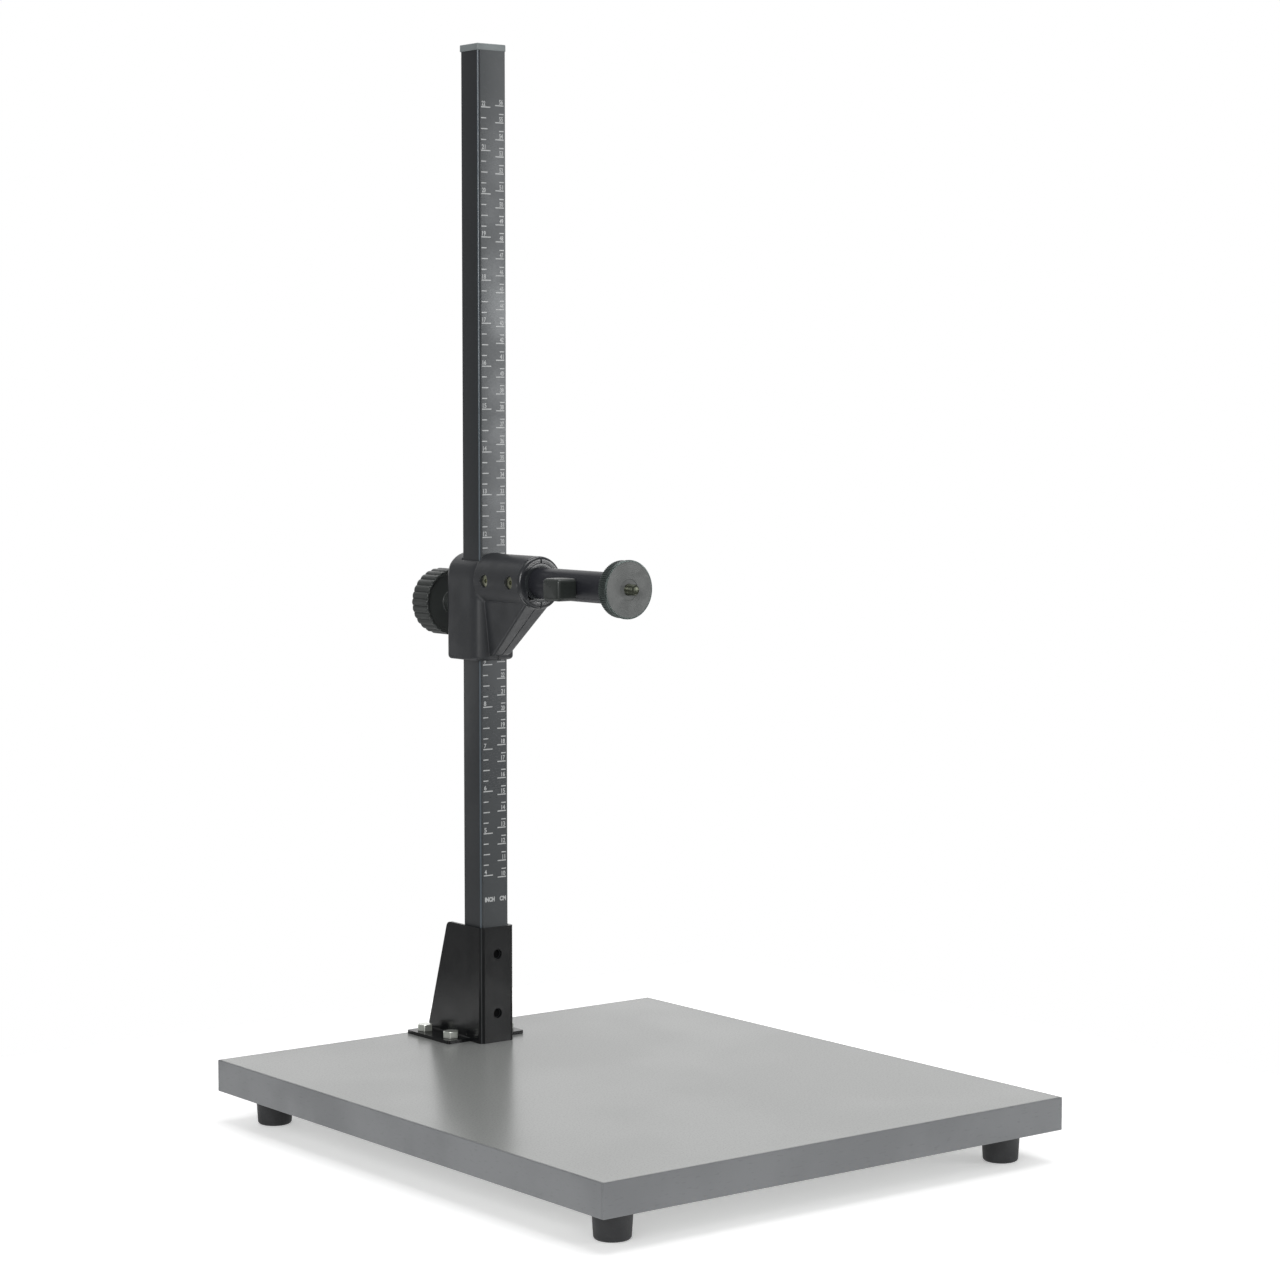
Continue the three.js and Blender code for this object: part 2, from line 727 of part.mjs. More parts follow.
// The left half carries the heads of the cross screws, the right half their threads
function housingHalves() {
  const whole = cut(housingBody(), housingHollow());
  const sides = [sleeveDrop, housingRadius].map((reach) => reach + overrun);
  const region = (limits) => block(limits, [bossMouth - overrun, knobBack], [-sides[0], sides[1]]);
  const outer = housingRadius + overrun;
  const left = common(whole, region([-outer, -seamGap / 2]));
  const right = common(whole, region([seamGap / 2, outer]));
  const leftHoles = [];
  const rightHoles = [];
  for (const y of Object.values(crossScrewPlaces)) {
    const headEnd = crossScrewHeadHeight + seatGap - crossScrewHeadEnd;
    leftHoles.push(bar("x", crossScrewRadius + holeGap, -outer, 0, { y }, leastFacets));
    leftHoles.push(bar("x", crossScrewHeadRadius + holeGap, -outer, headEnd, { y }, smallFacets));
    rightHoles.push(bar("x", crossScrewRadius + threadGap, 0, crossScrewGrip, { y }, leastFacets));
  }
  return {
    left: join(cut(left, ...leftHoles), pegs(0)),
    right: cut(right, ...rightHoles, pegs(threadGap)),
  };
}

// A socket head screw across the housing, through the arm tube
function crossScrew() {
  const seat = crossScrewHeadHeight - crossScrewHeadEnd;
  const end = crossScrewGrip - slideGap;
  const profile = [
    [0, -crossScrewHeadEnd],
    [crossScrewHeadRadius, -crossScrewHeadEnd],
    [crossScrewHeadRadius, seat],
    [crossScrewRadius, seat],
    [crossScrewRadius, end],
    [0, end],
  ];
  const socketEnd = socketDepth - crossScrewHeadEnd;
  const socket = hexagonalBar("x", socketFlats, -crossScrewHeadEnd - overrun, socketEnd);
  return cut(turned(profile, "x", {}, screwFacets), socket);
}

function clampNut() {
  const nut = hexagonalBar("y", clampNutFlats, clampNutFront + seatGap, clampNutBack);
  const inFront = block(
    [-clampNutFlats, clampNutFlats],
    [clampNutFront, clampNutFront + clampNutThickness],
    [-clampNutFlats, clampNutFlats],
  );
  const threadEnds = [clampNutFront - overrun, clampNutBack + overrun];
  const thread = bar("y", clampStudRadius + threadGap, ...threadEnds, {}, smallFacets);
  return cut(common(nut, inFront), thread);
}

function clampPad() {
  const shape = outline(rectangle(clampPadSize, clampPadSize, clampPadRound));
  return prism(shape, "y", clampPadFront, clampPadBack);
}

// The stud that the knob turns through the nut, against the pad
function clampStud() {
  const tip = clampPadBack + seatGap;
  const shoulder = tip + clampStudTipLength;
  const end = knobFront + knobSocketDepth;
  const profile = [
    [0, tip],
    [clampStudTipRadius, tip],
    [clampStudTipRadius, shoulder],
    [clampStudRadius, shoulder],
    [clampStudRadius, end],
    [0, end],
  ];
  return turned(profile, "y", {}, smallFacets);
}

// The fluted knob, with a dished front face, a hub towards the housing and a shallow recess at the back
function clampKnob() {
  const flutedPoints = Array.from({ length: knobFlutes * stepsPerFlute }, (_, i) => {
    const angle = (2 * Math.PI * i) / (knobFlutes * stepsPerFlute);
    const crest = Math.abs(Math.cos((angle * knobFlutes) / 2)) ** knobFluteSharpShare;
    const radius = knobRadius - knobFluteDepth * (1 - crest);
    return new THREE.Vector2(radius * Math.cos(angle), radius * Math.sin(angle));
  });
  const fluted = prism(new THREE.Shape(flutedPoints), "y", knobFront, knobBack);
  const inside = knobRadius - knobRimWidth;
  const socketEnd = knobFront + knobSocketDepth + seatGap;
  const socketRadiusOfStud = clampStudRadius + seatGap;
  const profile = [
    [socketRadiusOfStud, knobFront - knobHubLength],
    [knobHubRadius, knobFront - knobHubLength],
    [knobHubRadius, knobFront + knobDishDepth],
    [inside, knobFront + knobDishDepth],
    [inside + knobDishDepth, knobFront],
    [knobRadius - knobFrontChamfer, knobFront],
    [knobRadius, knobFront + knobFrontChamfer],
    ...arc(knobRadius - knobRimRound, knobBack - knobRimRound, knobRimRound, 0, quarterTurn),
    [inside, knobBack],
    [inside - knobBackRecess, knobBack - knobBackRecess],
    [0, knobBack - knobBackRecess],
    [0, socketEnd],
    [socketRadiusOfStud, socketEnd],
  ];
  const body = turned(profile, "y");
  const hub = bar("y", knobHubRadius, knobFront - knobHubLength - overrun, knobFront + knobDishDepth);
  return common(body, join(fluted, hub));
}

// The arm tube, drilled for the two cross screws and tapped for the lock screw
function armTube() {
  const tube = turned(
    [[tubeBore, tubeFront], [armRadius, tubeFront], [armRadius, tubeBack], [tubeBore, tubeBack]],
    "y",
  );
  const drilled = Object.values(crossScrewPlaces).map((y) =>
    bar("x", crossScrewRadius + holeGap, -armRadius - overrun, armRadius + overrun, { y }, leastFacets),
  );
  const lockAxis = { y: lockPlace, z: -lockDrop };
  const tapped = bar("x", lockStemRadius + threadGap, -armRadius - overrun, 0, lockAxis, leastFacets);
  return cut(tube, ...drilled, tapped);
}

// The collar round the tube, inside the boss's mouth
function armCollar() {
  const front = bossMouth + collarRecess;
  const back = front + collarLength;
  const bore = armRadius + seatGap;
  const profile = [
    [bore, front],
    [collarRadius - collarChamfer, front],
    [collarRadius, front + collarChamfer],
    [collarRadius, back],
    [bore, back],
  ];
  return turned(profile, "y");
}

function spindleBush(front) {
  const [bore, outside] = [spindleRadius + runningGap, tubeBore - seatGap];
  const back = front + bushLength;
  const profile = [[bore, front], [outside, front], [outside, back], [bore, back]];
  return turned(profile, "y", {}, smallFacets);
}

// The spindle: bored for the camera screw in front, grooved for the retaining ring behind
function spindle() {
  const front = wheelFloor;
  const bore = cameraScrewRadius + seatGap;
  const boreEnd = padFace + cameraScrewGrip + seatGap;
  const groove = spindleRadius - clipGrooveDepth;
  const profile = [
    [bore, front],
    [spindleRadius, front],
    [spindleRadius, clipPlace],
    [groove, clipPlace],
    [groove, clipPlace + clipThickness],
    [spindleRadius, clipPlace + clipThickness],
    [spindleRadius, spindleBack],
    [0, spindleBack],
    [0, boreEnd],
    [bore, boreEnd],
  ];
  return turned(profile, "y", {}, smallFacets);
}

function spindleClip() {
  const bore = spindleRadius - clipGrooveDepth + seatGap;
  const [front, back] = [clipPlace + seatGap, clipPlace + clipThickness - seatGap];
  const profile = [[bore, front], [clipRadius, front], [clipRadius, back], [bore, back]];
  return turned(profile, "y", {}, smallFacets);
}

// The wheel: a lip round the pad's recess, a plain flange, a groove and the toothed rim
function cameraWheel() {
  const bore = spindleRadius + seatGap;
  const lip = padRadius + seatGap;
  const rimFront = wheelFront + wheelFlange + wheelGroove;
  const floor = wheelRimRadius - wheelGrooveDepth;
  const body = turned(
    [
      [bore, wheelFloor],
      [lip, wheelFloor],
      [lip, wheelFront],
      [wheelRadius - wheelFlangeChamfer, wheelFront],
      [wheelRadius, wheelFront + wheelFlangeChamfer],
      [wheelRadius, wheelFront + wheelFlange],
      [floor, wheelFront + wheelFlange],
      [floor, rimFront],
      [wheelRimRadius, rimFront],
      [wheelRimRadius, wheelBack - wheelChamfer],
      [wheelRimRadius - wheelChamfer, wheelBack],
      [bore, wheelBack],
    ],
    "y",
  );
  const toothed = Array.from({ length: 2 * wheelTeeth }, (_, i) => {
    const radius = i % 2 ? wheelRimRadius - wheelToothDepth : wheelRimRadius;
    const angle = (Math.PI * i) / wheelTeeth;
    return new THREE.Vector2(radius * Math.cos(angle), radius * Math.sin(angle));
  });
  const rim = prism(new THREE.Shape(toothed), "y", rimFront - wheelGroove, wheelBack + overrun);
  const front = bar("y", wheelRadius + overrun, wheelFront - overrun, rimFront - wheelGroove);
  return common(body, join(rim, front));
}

function cameraPad() {
  const back = padFace + padThickness;
  const profile = [
    [padHoleRadius, padFace],
    [padRadius - padChamfer, padFace],
    [padRadius, padFace + padChamfer],
    [padRadius, back],
    [padHoleRadius, back],
  ];
  return turned(profile, "y");
}

function cameraScrew() {
  const front = padFace - cameraScrewProud;
  const back = padFace + cameraScrewGrip;
  const round = cameraScrewRound;
  const profile = [
    [0, front],
    ...arc(cameraScrewRadius - round, front + round, round, -quarterTurn, 0),
    [cameraScrewRadius, back],
    [0, back],
  ];
  return turned(profile, "y", {}, smallFacets);
}

// The block shaped head of the lock screw, bored for its stem
function lockHead() {
  const inner = -armRadius - lockHeadGap;
  const shape = outline(rectangle(lockHeadLength, lockHeadHeight, lockHeadCorner));
  const rounded = prism(shape, "x", -lockHeadReach, inner + lockHeadRound, lockHeadRound);
  const square = block(
    [-lockHeadReach, inner],
    [-lockHeadLength, lockHeadLength],
    [-lockHeadHeight, lockHeadHeight],
  );
  const bore = bar("x", lockStemRadius + seatGap, inner - lockStemGrip - seatGap, 0, {}, leastFacets);
  return cut(common(rounded, square), bore);
}

function lockStem() {
  const inner = lockTipInner() - lockTipLength - seatGap;
  const outer = -armRadius - lockHeadGap - lockStemGrip;
  return bar("x", lockStemRadius, outer, inner, {}, leastFacets);
}

// Where the pressure tip meets the spindle
function lockTipInner() {
  return -spindleRadius - seatGap;
}

function lockTip() {
  const inner = lockTipInner();
  return bar("x", lockTipRadius, inner - lockTipLength, inner, {}, leastFacets);
}

const stand = new THREE.Group();
addPiece(stand, "board_core", boardCore(), greyLaminate);
for (const [side, band] of Object.entries(edgeBands())) addPiece(stand, `edge_band_${side}`, band, greyEdge);
for (const [name, { x, y }] of footPlaces()) {
  const corner = new THREE.Group();
  corner.position.set(x, y, 0);
  stand.add(corner);
  addPiece(corner, `foot_${name}`, foot(), blackRubber);
  addPiece(corner, `foot_washer_${name}`, footWasher(), zincSteel);
  addPiece(corner, `foot_screw_${name}`, footScrew(), zincSteel);
}

const column = new THREE.Group();
column.position.set(0, columnAxis, boardTop + seatGap);
stand.add(column);
addPiece(column, "column_tube", columnTube(), blackCoat);
addPiece(column, "column_scale", columnScale(), printedPlate);
addPiece(column, "column_cap", columnCap(), greyPlastic);
addPiece(column, "column_bracket", columnBracket(), blackCoat);
for (const [name, z] of [["lower", lowerHoleHeight], ["upper", upperHoleHeight]])
  addPiece(column, `column_screw_${name}`, columnScrew(), blackSteel).position.z = z;
for (const [end, y] of [["front", flangeScrewPlaces[0]], ["back", flangeScrewPlaces[1]]])
  for (const [side, x] of [["left", -flangeScrewAcross], ["right", flangeScrewAcross]])
    addFlangeScrew(`${end}_${side}`, x, y);

function addFlangeScrew(corner, x, y) {
  const screw = flangeScrew(flangeScrewTurns[corner]);
  addPiece(column, `bracket_screw_${corner}`, screw, zincSteel).position.set(x, y, 0);
}

const carriage = new THREE.Group();
carriage.position.set(0, columnAxis, boardTop + armHeight);
stand.add(carriage);
const { left, right } = housingHalves();
addPiece(carriage, "housing_left", left, charcoalHousing);
addPiece(carriage, "housing_right", right, charcoalHousing);
for (const [end, y] of Object.entries(crossScrewPlaces))
  addPiece(carriage, `cross_screw_${end}`, crossScrew(), zincSteel).position.y = y;

const clamp = new THREE.Group();
clamp.position.z = -clampDrop;
carriage.add(clamp);
addPiece(clamp, "clamp_nut", clampNut(), zincSteel);
addPiece(clamp, "clamp_pad", clampPad(), brass);
addPiece(clamp, "clamp_stud", clampStud(), zincSteel);
addPiece(clamp, "clamp_knob", clampKnob(), blackPlastic);

addPiece(carriage, "arm_tube", armTube(), blackSteel);
addPiece(carriage, "arm_collar", armCollar(), blackPlastic);
addPiece(carriage, "spindle_bush_front", spindleBush(tubeFront), palePlastic);
addPiece(carriage, "spindle_bush_back", spindleBush(backBushFront), palePlastic);
addPiece(carriage, "spindle", spindle(), bronzedSteel);
addPiece(carriage, "spindle_clip", spindleClip(), zincSteel);
addPiece(carriage, "camera_wheel", cameraWheel(), blackSteel);
addPiece(carriage, "camera_pad", cameraPad(), greyRubber);
addPiece(carriage, "camera_screw", cameraScrew(), bronzedSteel);

const lock = new THREE.Group();
lock.position.set(0, lockPlace, -lockDrop);
carriage.add(lock);
addPiece(lock, "lock_head", lockHead(), blackPlastic);
addPiece(lock, "lock_stem", lockStem(), blackSteel);
addPiece(lock, "lock_tip", lockTip(), brass);

export default stand;
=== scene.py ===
# Copy stand: the looks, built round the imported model. Metres in Blender, millimetres in the
# dictionaries. Z up, origin on the floor under the middle of the baseboard.
from math import pi, radians

import bmesh
import bpy
import numpy as np
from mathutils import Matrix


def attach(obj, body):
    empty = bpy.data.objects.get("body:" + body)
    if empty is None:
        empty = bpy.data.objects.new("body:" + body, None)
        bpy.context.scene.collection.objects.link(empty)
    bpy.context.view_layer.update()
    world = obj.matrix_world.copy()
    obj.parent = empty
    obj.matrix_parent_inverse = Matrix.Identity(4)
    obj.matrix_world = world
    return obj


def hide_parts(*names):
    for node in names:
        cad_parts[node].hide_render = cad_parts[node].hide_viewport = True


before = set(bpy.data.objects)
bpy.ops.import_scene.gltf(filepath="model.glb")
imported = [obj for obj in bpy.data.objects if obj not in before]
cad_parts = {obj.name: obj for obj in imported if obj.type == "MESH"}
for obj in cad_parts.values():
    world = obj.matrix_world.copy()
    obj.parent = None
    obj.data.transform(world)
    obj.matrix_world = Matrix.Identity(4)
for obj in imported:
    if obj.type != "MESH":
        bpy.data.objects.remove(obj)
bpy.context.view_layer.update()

millimetre = 0.001
weldDistance = 0.002  # in millimetres
print("frame loaded")


# Colours and patterns

class Wire:
    # An output socket, with the sums and textures that a pattern is written with
    def __init__(self, tree, socket):
        self.tree = tree
        self.socket = socket

    def node(self, kind, settings, values, out=0):
        made = self.tree.nodes.new("ShaderNode" + kind)
        for key, value in settings.items():
            setattr(made, key, value)
        for key, value in values.items():
            if isinstance(value, Wire):
                self.tree.links.new(value.socket, made.inputs[key])
            else:
                made.inputs[key].default_value = value
        return Wire(self.tree, made.outputs[out])

    def math(self, operation, other=0.0, swapped=False):
        values = {0: other, 1: self} if swapped else {0: self, 1: other}
        return self.node("Math", {"operation": operation}, values)

    def __add__(self, other):
        return self.math("ADD", other)

    __radd__ = __add__

    def __sub__(self, other):
        return self.math("SUBTRACT", other)

    def __rsub__(self, other):
        return self.math("SUBTRACT", other, True)

    def __mul__(self, other):
        return self.math("MULTIPLY", other)

    __rmul__ = __mul__

    def stretched(self, factors):
        return self.node("VectorMath", {"operation": "MULTIPLY"}, {0: self, 1: factors})

    def noise(self, scale, detail=2.0, rough=0.5):
        values = {"Vector": self, "Scale": scale, "Detail": detail, "Roughness": rough}
        return self.node("TexNoise", {}, values)

    def along(self, axis):
        return self.node("SeparateXYZ", {}, {0: self}, "xyz".index(axis))

    def ramp(self, low, high, fromValue=0.0, toValue=1.0):
        settings = {"clamp": True, "interpolation_type": "SMOOTHSTEP"}
        return self.node("MapRange", settings, {0: self, 1: low, 2: high, 3: fromValue, 4: toValue})

    def blend(self, first, second):
        return self.node("Mix", {"data_type": "RGBA"}, {0: self, 6: first, 7: second}, 2)


def linear(colour):
    # From the 0 to 255 numbers of a screen to the light that a material sends back
    value = np.asarray(colour, float) / 255
    low, high = value / 12.92, ((value + 0.055) / 1.055) ** 2.4
    return (*np.where(value <= 0.04045, low, high).tolist(), 1.0)


# What a finish has unless it says otherwise. Scales are in waves per metre.
commonLook = {
    "metallic": 0.0, "specular": 0.5, "stretch": (1, 1, 1), "cloudScale": 30, "cloudRange": (0.35, 0.65),
    "grainScale": 1500, "speckScale": 900, "speckRange": (0.62, 0.72), "speckShare": 0.4,
    "cloudShare": 0.4, "roughnessRange": (0.25, 0.75),
}


def startMaterial(name, look):
    started = bpy.data.materials.new(name)
    started.use_nodes = True
    tree = started.node_tree
    shader = tree.nodes["Principled BSDF"]
    shader.inputs["Metallic"].default_value = look["metallic"]
    shader.inputs["Specular IOR Level"].default_value = look["specular"]
    coordinates = tree.nodes.new("ShaderNodeTexCoord")
    return started, shader, Wire(tree, coordinates.outputs["Object"])


def connect(shader, place, colour, roughness, height, depth):
    # Height is a pattern from 0 to 1, depth its relief in millimetres
    bump = place.node("Bump", {}, {"Strength": 1.0, "Distance": depth * millimetre, "Height": height})
    for name, wire in (("Base Color", colour), ("Roughness", roughness), ("Normal", bump)):
        place.tree.links.new(wire.socket, shader.inputs[name])


def paintedHighlightMask(place, edge):
    # Upright edges painted brighter as a highlight, and made smoother: where x and y, each from the
    # middle, are both past their limits
    across = place.along("x").math("ABSOLUTE").ramp(*[part * millimetre for part in edge["x"]])
    along = (place.along("y") - edge["middle"] * millimetre).math("ABSOLUTE")
    return across * along.ramp(*[part * millimetre for part in edge["y"]])


def surfaceFinish(name, look):
    # Two close tones in soft clouds, fine specks of a third, a roughness that wanders with clouds
    # and grain, and a grain that lifts the surface. A stretched grain gives drawn or brushed lines.
    # Upright edges with a painted highlight and polished faces are optional.
    look = {**commonLook, **look}
    finish, shader, place = startMaterial(name, look)
    fine = place.stretched(look["stretch"])
    clouds = place.noise(look["cloudScale"], 3).ramp(*look["cloudRange"])
    grain = fine.noise(look["grainScale"], 3, 0.6)
    specks = fine.noise(look["speckScale"], 1).ramp(*look["speckRange"])
    first, second, speck = (linear(tone) for tone in look["tones"])
    colour = (specks * look["speckShare"]).blend(clouds.blend(first, second), speck)
    share = look["cloudShare"]
    roughness = (clouds * share + grain * (1 - share)).ramp(*look["roughnessRange"], *look["roughness"])
    # A lighter tone painted on upright edges as a highlight, where they are also made smoother
    if "paintedHighlightEdge" in look:
        mask = paintedHighlightMask(place, look["paintedHighlightEdge"])
        colour = mask.blend(colour, linear(look["paintedHighlightEdge"]["tone"]))
        roughness = roughness * (1 - mask * look["paintedHighlightEdge"]["smoother"])
    if "polished" in look:
        # A face that is smoother than the rest, in front of a place along y
        start, end, smoother = look["polished"]
        roughness = roughness * place.along("y").ramp(start * millimetre, end * millimetre, smoother, 1)
    connect(shader, place, colour, roughness, grain, look["relief"])
    return finish


# Tones are 0 to 255 numbers of a screen. Edges with a painted highlight and polished faces are in
# millimetres.
finishes = {
    "laminate": {"tones": [(140, 142, 140), (138, 140, 138), (119, 121, 120)], "roughness": (0.23, 0.27),
                 "relief": 0.014, "grainScale": 1100, "cloudScale": 12, "speckRange": (0.5, 0.66)},
    "edgeBand": {"tones": [(113, 115, 117), (107, 109, 111), (95, 97, 99)], "roughness": (0.38, 0.5),
                 "relief": 0.03, "grainScale": 700, "stretch": (0.25, 0.25, 1), "cloudScale": 20},
    "rubber": {"tones": [(36, 37, 39), (30, 31, 33), (52, 53, 55)], "roughness": (0.5, 0.68),
               "relief": 0.06, "grainScale": 1300, "speckShare": 0.3},
    "zinc": {"tones": [(232, 234, 228), (214, 218, 210), (176, 184, 168)], "roughness": (0.14, 0.26),
             "relief": 0.015, "metallic": 0.7, "grainScale": 2600, "cloudScale": 160, "speckScale": 700},
    "columnCoat": {"tones": [(40, 43, 46), (35, 38, 41), (52, 56, 60)], "roughness": (0.3, 0.42),
                   "relief": 0.015, "grainScale": 1600, "stretch": (1, 1, 0.12), "cloudScale": 14,
                   "speckShare": 0.25,
                   # The tube's front and back upright corners are painted lighter as a highlight line, and
                   # made smoother
                   "paintedHighlightEdge": {"x": (8.9, 9.3), "middle": 141.55, "y": (7.9, 8.3), "tone": (92, 101, 108),
                              "smoother": 0.6}},
    "bracketCoat": {"tones": [(26, 27, 28), (23, 24, 25), (38, 40, 40)], "roughness": (0.17, 0.27),
                    "relief": 0.012, "grainScale": 1500, "cloudScale": 40, "speckShare": 0.3,
                    "specular": 0.25,
                    # The bracket's front upright corners are painted lighter as a highlight line, and made a
                    # little smoother
                    "paintedHighlightEdge": {"x": (11.1, 11.5), "middle": 160, "y": (29.6, 30.1), "tone": (80, 84, 86),
                               "smoother": 0.2}},
    # Near black and barely shiny: the screws' own dark colour, darkened further as painted shade so that
    # their ends read as shaded holes
    "holeShadeBlack": {"tones": [(16, 16, 17), (12, 12, 13), (26, 26, 27)], "roughness": (0.75, 0.9),
                   "relief": 0.015, "grainScale": 2200, "cloudScale": 120, "specular": 0.1},
    "blackSteel": {"tones": [(20, 20, 22), (15, 15, 17), (32, 32, 34)], "roughness": (0.38, 0.5),
                   "metallic": 0.2, "relief": 0.015, "grainScale": 2200, "cloudScale": 120},
    "housingPlastic": {"tones": [(45, 47, 50), (40, 42, 45), (55, 57, 60)], "roughness": (0.37, 0.49),
                       "relief": 0.045, "grainScale": 1250, "cloudScale": 45, "speckShare": 0.3,
                       "specular": 0.6, "polished": (86.4, 87.4, 0.45)},
    "collarPlastic": {"tones": [(52, 55, 57), (46, 49, 51), (62, 65, 67)], "roughness": (0.18, 0.28),
                      "relief": 0.02, "grainScale": 1400, "cloudScale": 60, "speckShare": 0.25},
    "lockPlastic": {"tones": [(45, 49, 47), (39, 43, 41), (55, 59, 57)], "roughness": (0.27, 0.39),
                    "relief": 0.02, "grainScale": 1500, "cloudScale": 60, "speckShare": 0.25},
    "olivedZinc": {"tones": [(176, 178, 156), (142, 144, 122), (96, 98, 80)], "roughness": (0.3, 0.44),
                   "relief": 0.02, "metallic": 0.9, "grainScale": 2600, "cloudScale": 260},
    "gripPlastic": {"tones": [(58, 61, 60), (52, 55, 54), (70, 73, 72)], "roughness": (0.34, 0.46),
                    "relief": 0.035, "grainScale": 1500, "cloudScale": 60, "speckShare": 0.25,
                    "polished": (174.6, 175.4, 0.4)},
    "capPlastic": {"tones": [(134, 141, 142), (127, 134, 135), (114, 120, 121)], "roughness": (0.4, 0.5),
                   "relief": 0.03, "grainScale": 1400, "cloudScale": 80},
    "armCoat": {"tones": [(43, 44, 49), (38, 39, 44), (55, 56, 60)], "roughness": (0.28, 0.38),
                "relief": 0.012, "grainScale": 1500, "stretch": (1, 0.2, 1), "cloudScale": 35,
                "speckShare": 0.2, "specular": 0.24},
    "brass": {"tones": [(186, 152, 84), (170, 138, 74), (140, 112, 60)], "roughness": (0.25, 0.4),
              "relief": 0.015, "metallic": 1.0, "grainScale": 2200, "cloudScale": 140},
    "palePlastic": {"tones": [(214, 211, 200), (206, 203, 192), (190, 187, 176)], "roughness": (0.4, 0.5),
                    "relief": 0.02, "grainScale": 1500},
    "bronzedSteel": {"tones": [(72, 75, 63), (61, 64, 54), (46, 48, 41)], "roughness": (0.2, 0.34),
                     "relief": 0.015, "metallic": 0.7, "grainScale": 2400, "cloudScale": 220},
    "wheelMetal": {"tones": [(80, 88, 86), (70, 78, 76), (104, 112, 109)], "roughness": (0.3, 0.42),
                   "relief": 0.015, "metallic": 0.7, "grainScale": 2400, "cloudScale": 160,
                   "polished": (0.8, 1.0, 0.6)},
    "padRubber": {"tones": [(116, 118, 117), (109, 111, 110), (95, 97, 96)], "roughness": (0.6, 0.75),
                  "relief": 0.05, "grainScale": 1700, "cloudScale": 130},
    "scalePlate": {"tones": [(74, 77, 79), (69, 72, 74), (86, 89, 91)], "roughness": (0.26, 0.36),
                   "relief": 0.01, "metallic": 0.25, "grainScale": 1500, "stretch": (0.3, 1, 1),
                   "cloudScale": 16, "speckShare": 0.2},
    "print": {"tones": [(200, 202, 202), (190, 192, 192), (160, 162, 162)], "roughness": (0.4, 0.5),
              "relief": 0.01, "grainScale": 2500, "cloudScale": 200},
}
material = {name: surfaceFinish(name, look) for name, look in finishes.items()}
print("finishes:", len(material))


# Surfaces

def addPiece(name, points, faces, finish, body, stands=(), sharp=32):
    # A piece from points in millimetres, welded, with its faces outwards, and smooth except at edges
    # past the sharp angle
    mesh = bpy.data.meshes.new(name)
    mesh.from_pydata((np.asarray(points) * millimetre).tolist(), [], np.asarray(faces).tolist())
    work = bmesh.new()
    work.from_mesh(mesh)
    bmesh.ops.remove_doubles(work, verts=work.verts, dist=weldDistance * millimetre)
    bmesh.ops.recalc_face_normals(work, faces=work.faces)
    work.to_mesh(mesh)
    work.free()
    mesh.shade_smooth()
    mesh.set_sharp_from_angle(angle=radians(sharp))
    mesh.materials.append(material[finish])
    piece = bpy.data.objects.new(name, mesh)
    bpy.context.scene.collection.objects.link(piece)
    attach(piece, body)
    if stands:
        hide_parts(*stands)


def gridFaces(rows, columns, ring=False):
    # Four sided faces between neighbours on a grid whose columns close on themselves, and whose
    # rows do so too when ring is set
    i, j = np.meshgrid(np.arange(rows if ring else rows - 1), np.arange(columns), indexing="ij")
    below, beside = (i + 1) % rows, (j + 1) % columns
    corners = (i * columns + j, i * columns + beside, below * columns + beside, below * columns + j)
    return np.stack(corners, -1).reshape(-1, 4)


def rounded(corners, steps=6, closed=False):
    # A line through corners (a, b, radius), where each radius is an arc that touches both sides
    points = []
    count = len(corners)
    for i, (a, b, *radius) in enumerate(corners):
        here = np.array([a, b], float)
        if not radius or (not closed and i in (0, count - 1)):
            points.append(here[None])
            continue
        before = np.array(corners[i - 1][:2], float) - here
        after = np.array(corners[(i + 1) % count][:2], float) - here
        before, after = before / np.linalg.norm(before), after / np.linalg.norm(after)
        half = np.arccos(np.clip(before @ after, -1, 1)) / 2
        middle = here + (before + after) / np.linalg.norm(before + after) * radius[0] / np.sin(half)
        start = here + before * radius[0] / np.tan(half) - middle
        end = here + after * radius[0] / np.tan(half) - middle
        t = np.linspace(0, 1, steps + 1)[:, None]
        arc = start * (1 - t) + end * t
        arc *= radius[0] / np.linalg.norm(arc, axis=1, keepdims=True)
        points.append(middle + arc)
    return np.concatenate(points)


def turn(profile, axis, centre, sides):
    # A profile of (radius, place) turned round an axis: radius times cosine and sine of the angle
    profile = np.asarray(profile, float)
    angle = np.linspace(0, 2 * pi, sides, endpoint=False)
    return turnField(profile[:, :1] + 0 * angle, profile[:, 1:] + 0 * angle, angle, axis, centre)


def turnField(radius, place, angle, axis, centre):
    # The same for a radius and a place that both change with row and angle
    across, up = radius * np.cos(angle), radius * np.sin(angle)
    order = {"x": (place, across, up), "y": (across, place, up), "z": (across, up, place)}[axis]
    return np.stack([part + middle for part, middle in zip(order, centre)], -1)


def rectangleRing(width, depth, corner, steps=8):
    # The four arcs of a rounded rectangle, joined in order
    angle = np.linspace(0, pi / 2, steps + 1)[None] + np.arange(4)[:, None] * pi / 2
    signX, signY = np.array([1, -1, -1, 1])[:, None], np.array([1, 1, -1, -1])[:, None]
    x = signX * (width / 2 - corner) + corner * np.cos(angle)
    y = signY * (depth / 2 - corner) + corner * np.sin(angle)
    return np.stack([x.ravel(), y.ravel()], -1)


def loft(width, depth, corner, rows, steps=8, leastCorner=0.01):
    # A rounded rectangle carried along its axis, drawn in by rows of (inset, place); an inset of
    # None draws it in to the middle
    rings = []
    for inset, place in rows:
        if inset is None:
            ring = np.zeros((4 * (steps + 1), 2))
        else:
            radius = max(corner - inset, leastCorner)
            ring = rectangleRing(width - 2 * inset, depth - 2 * inset, radius, steps)
        rings.append(np.column_stack([ring, np.full(len(ring), place)]))
    return np.stack(rings)


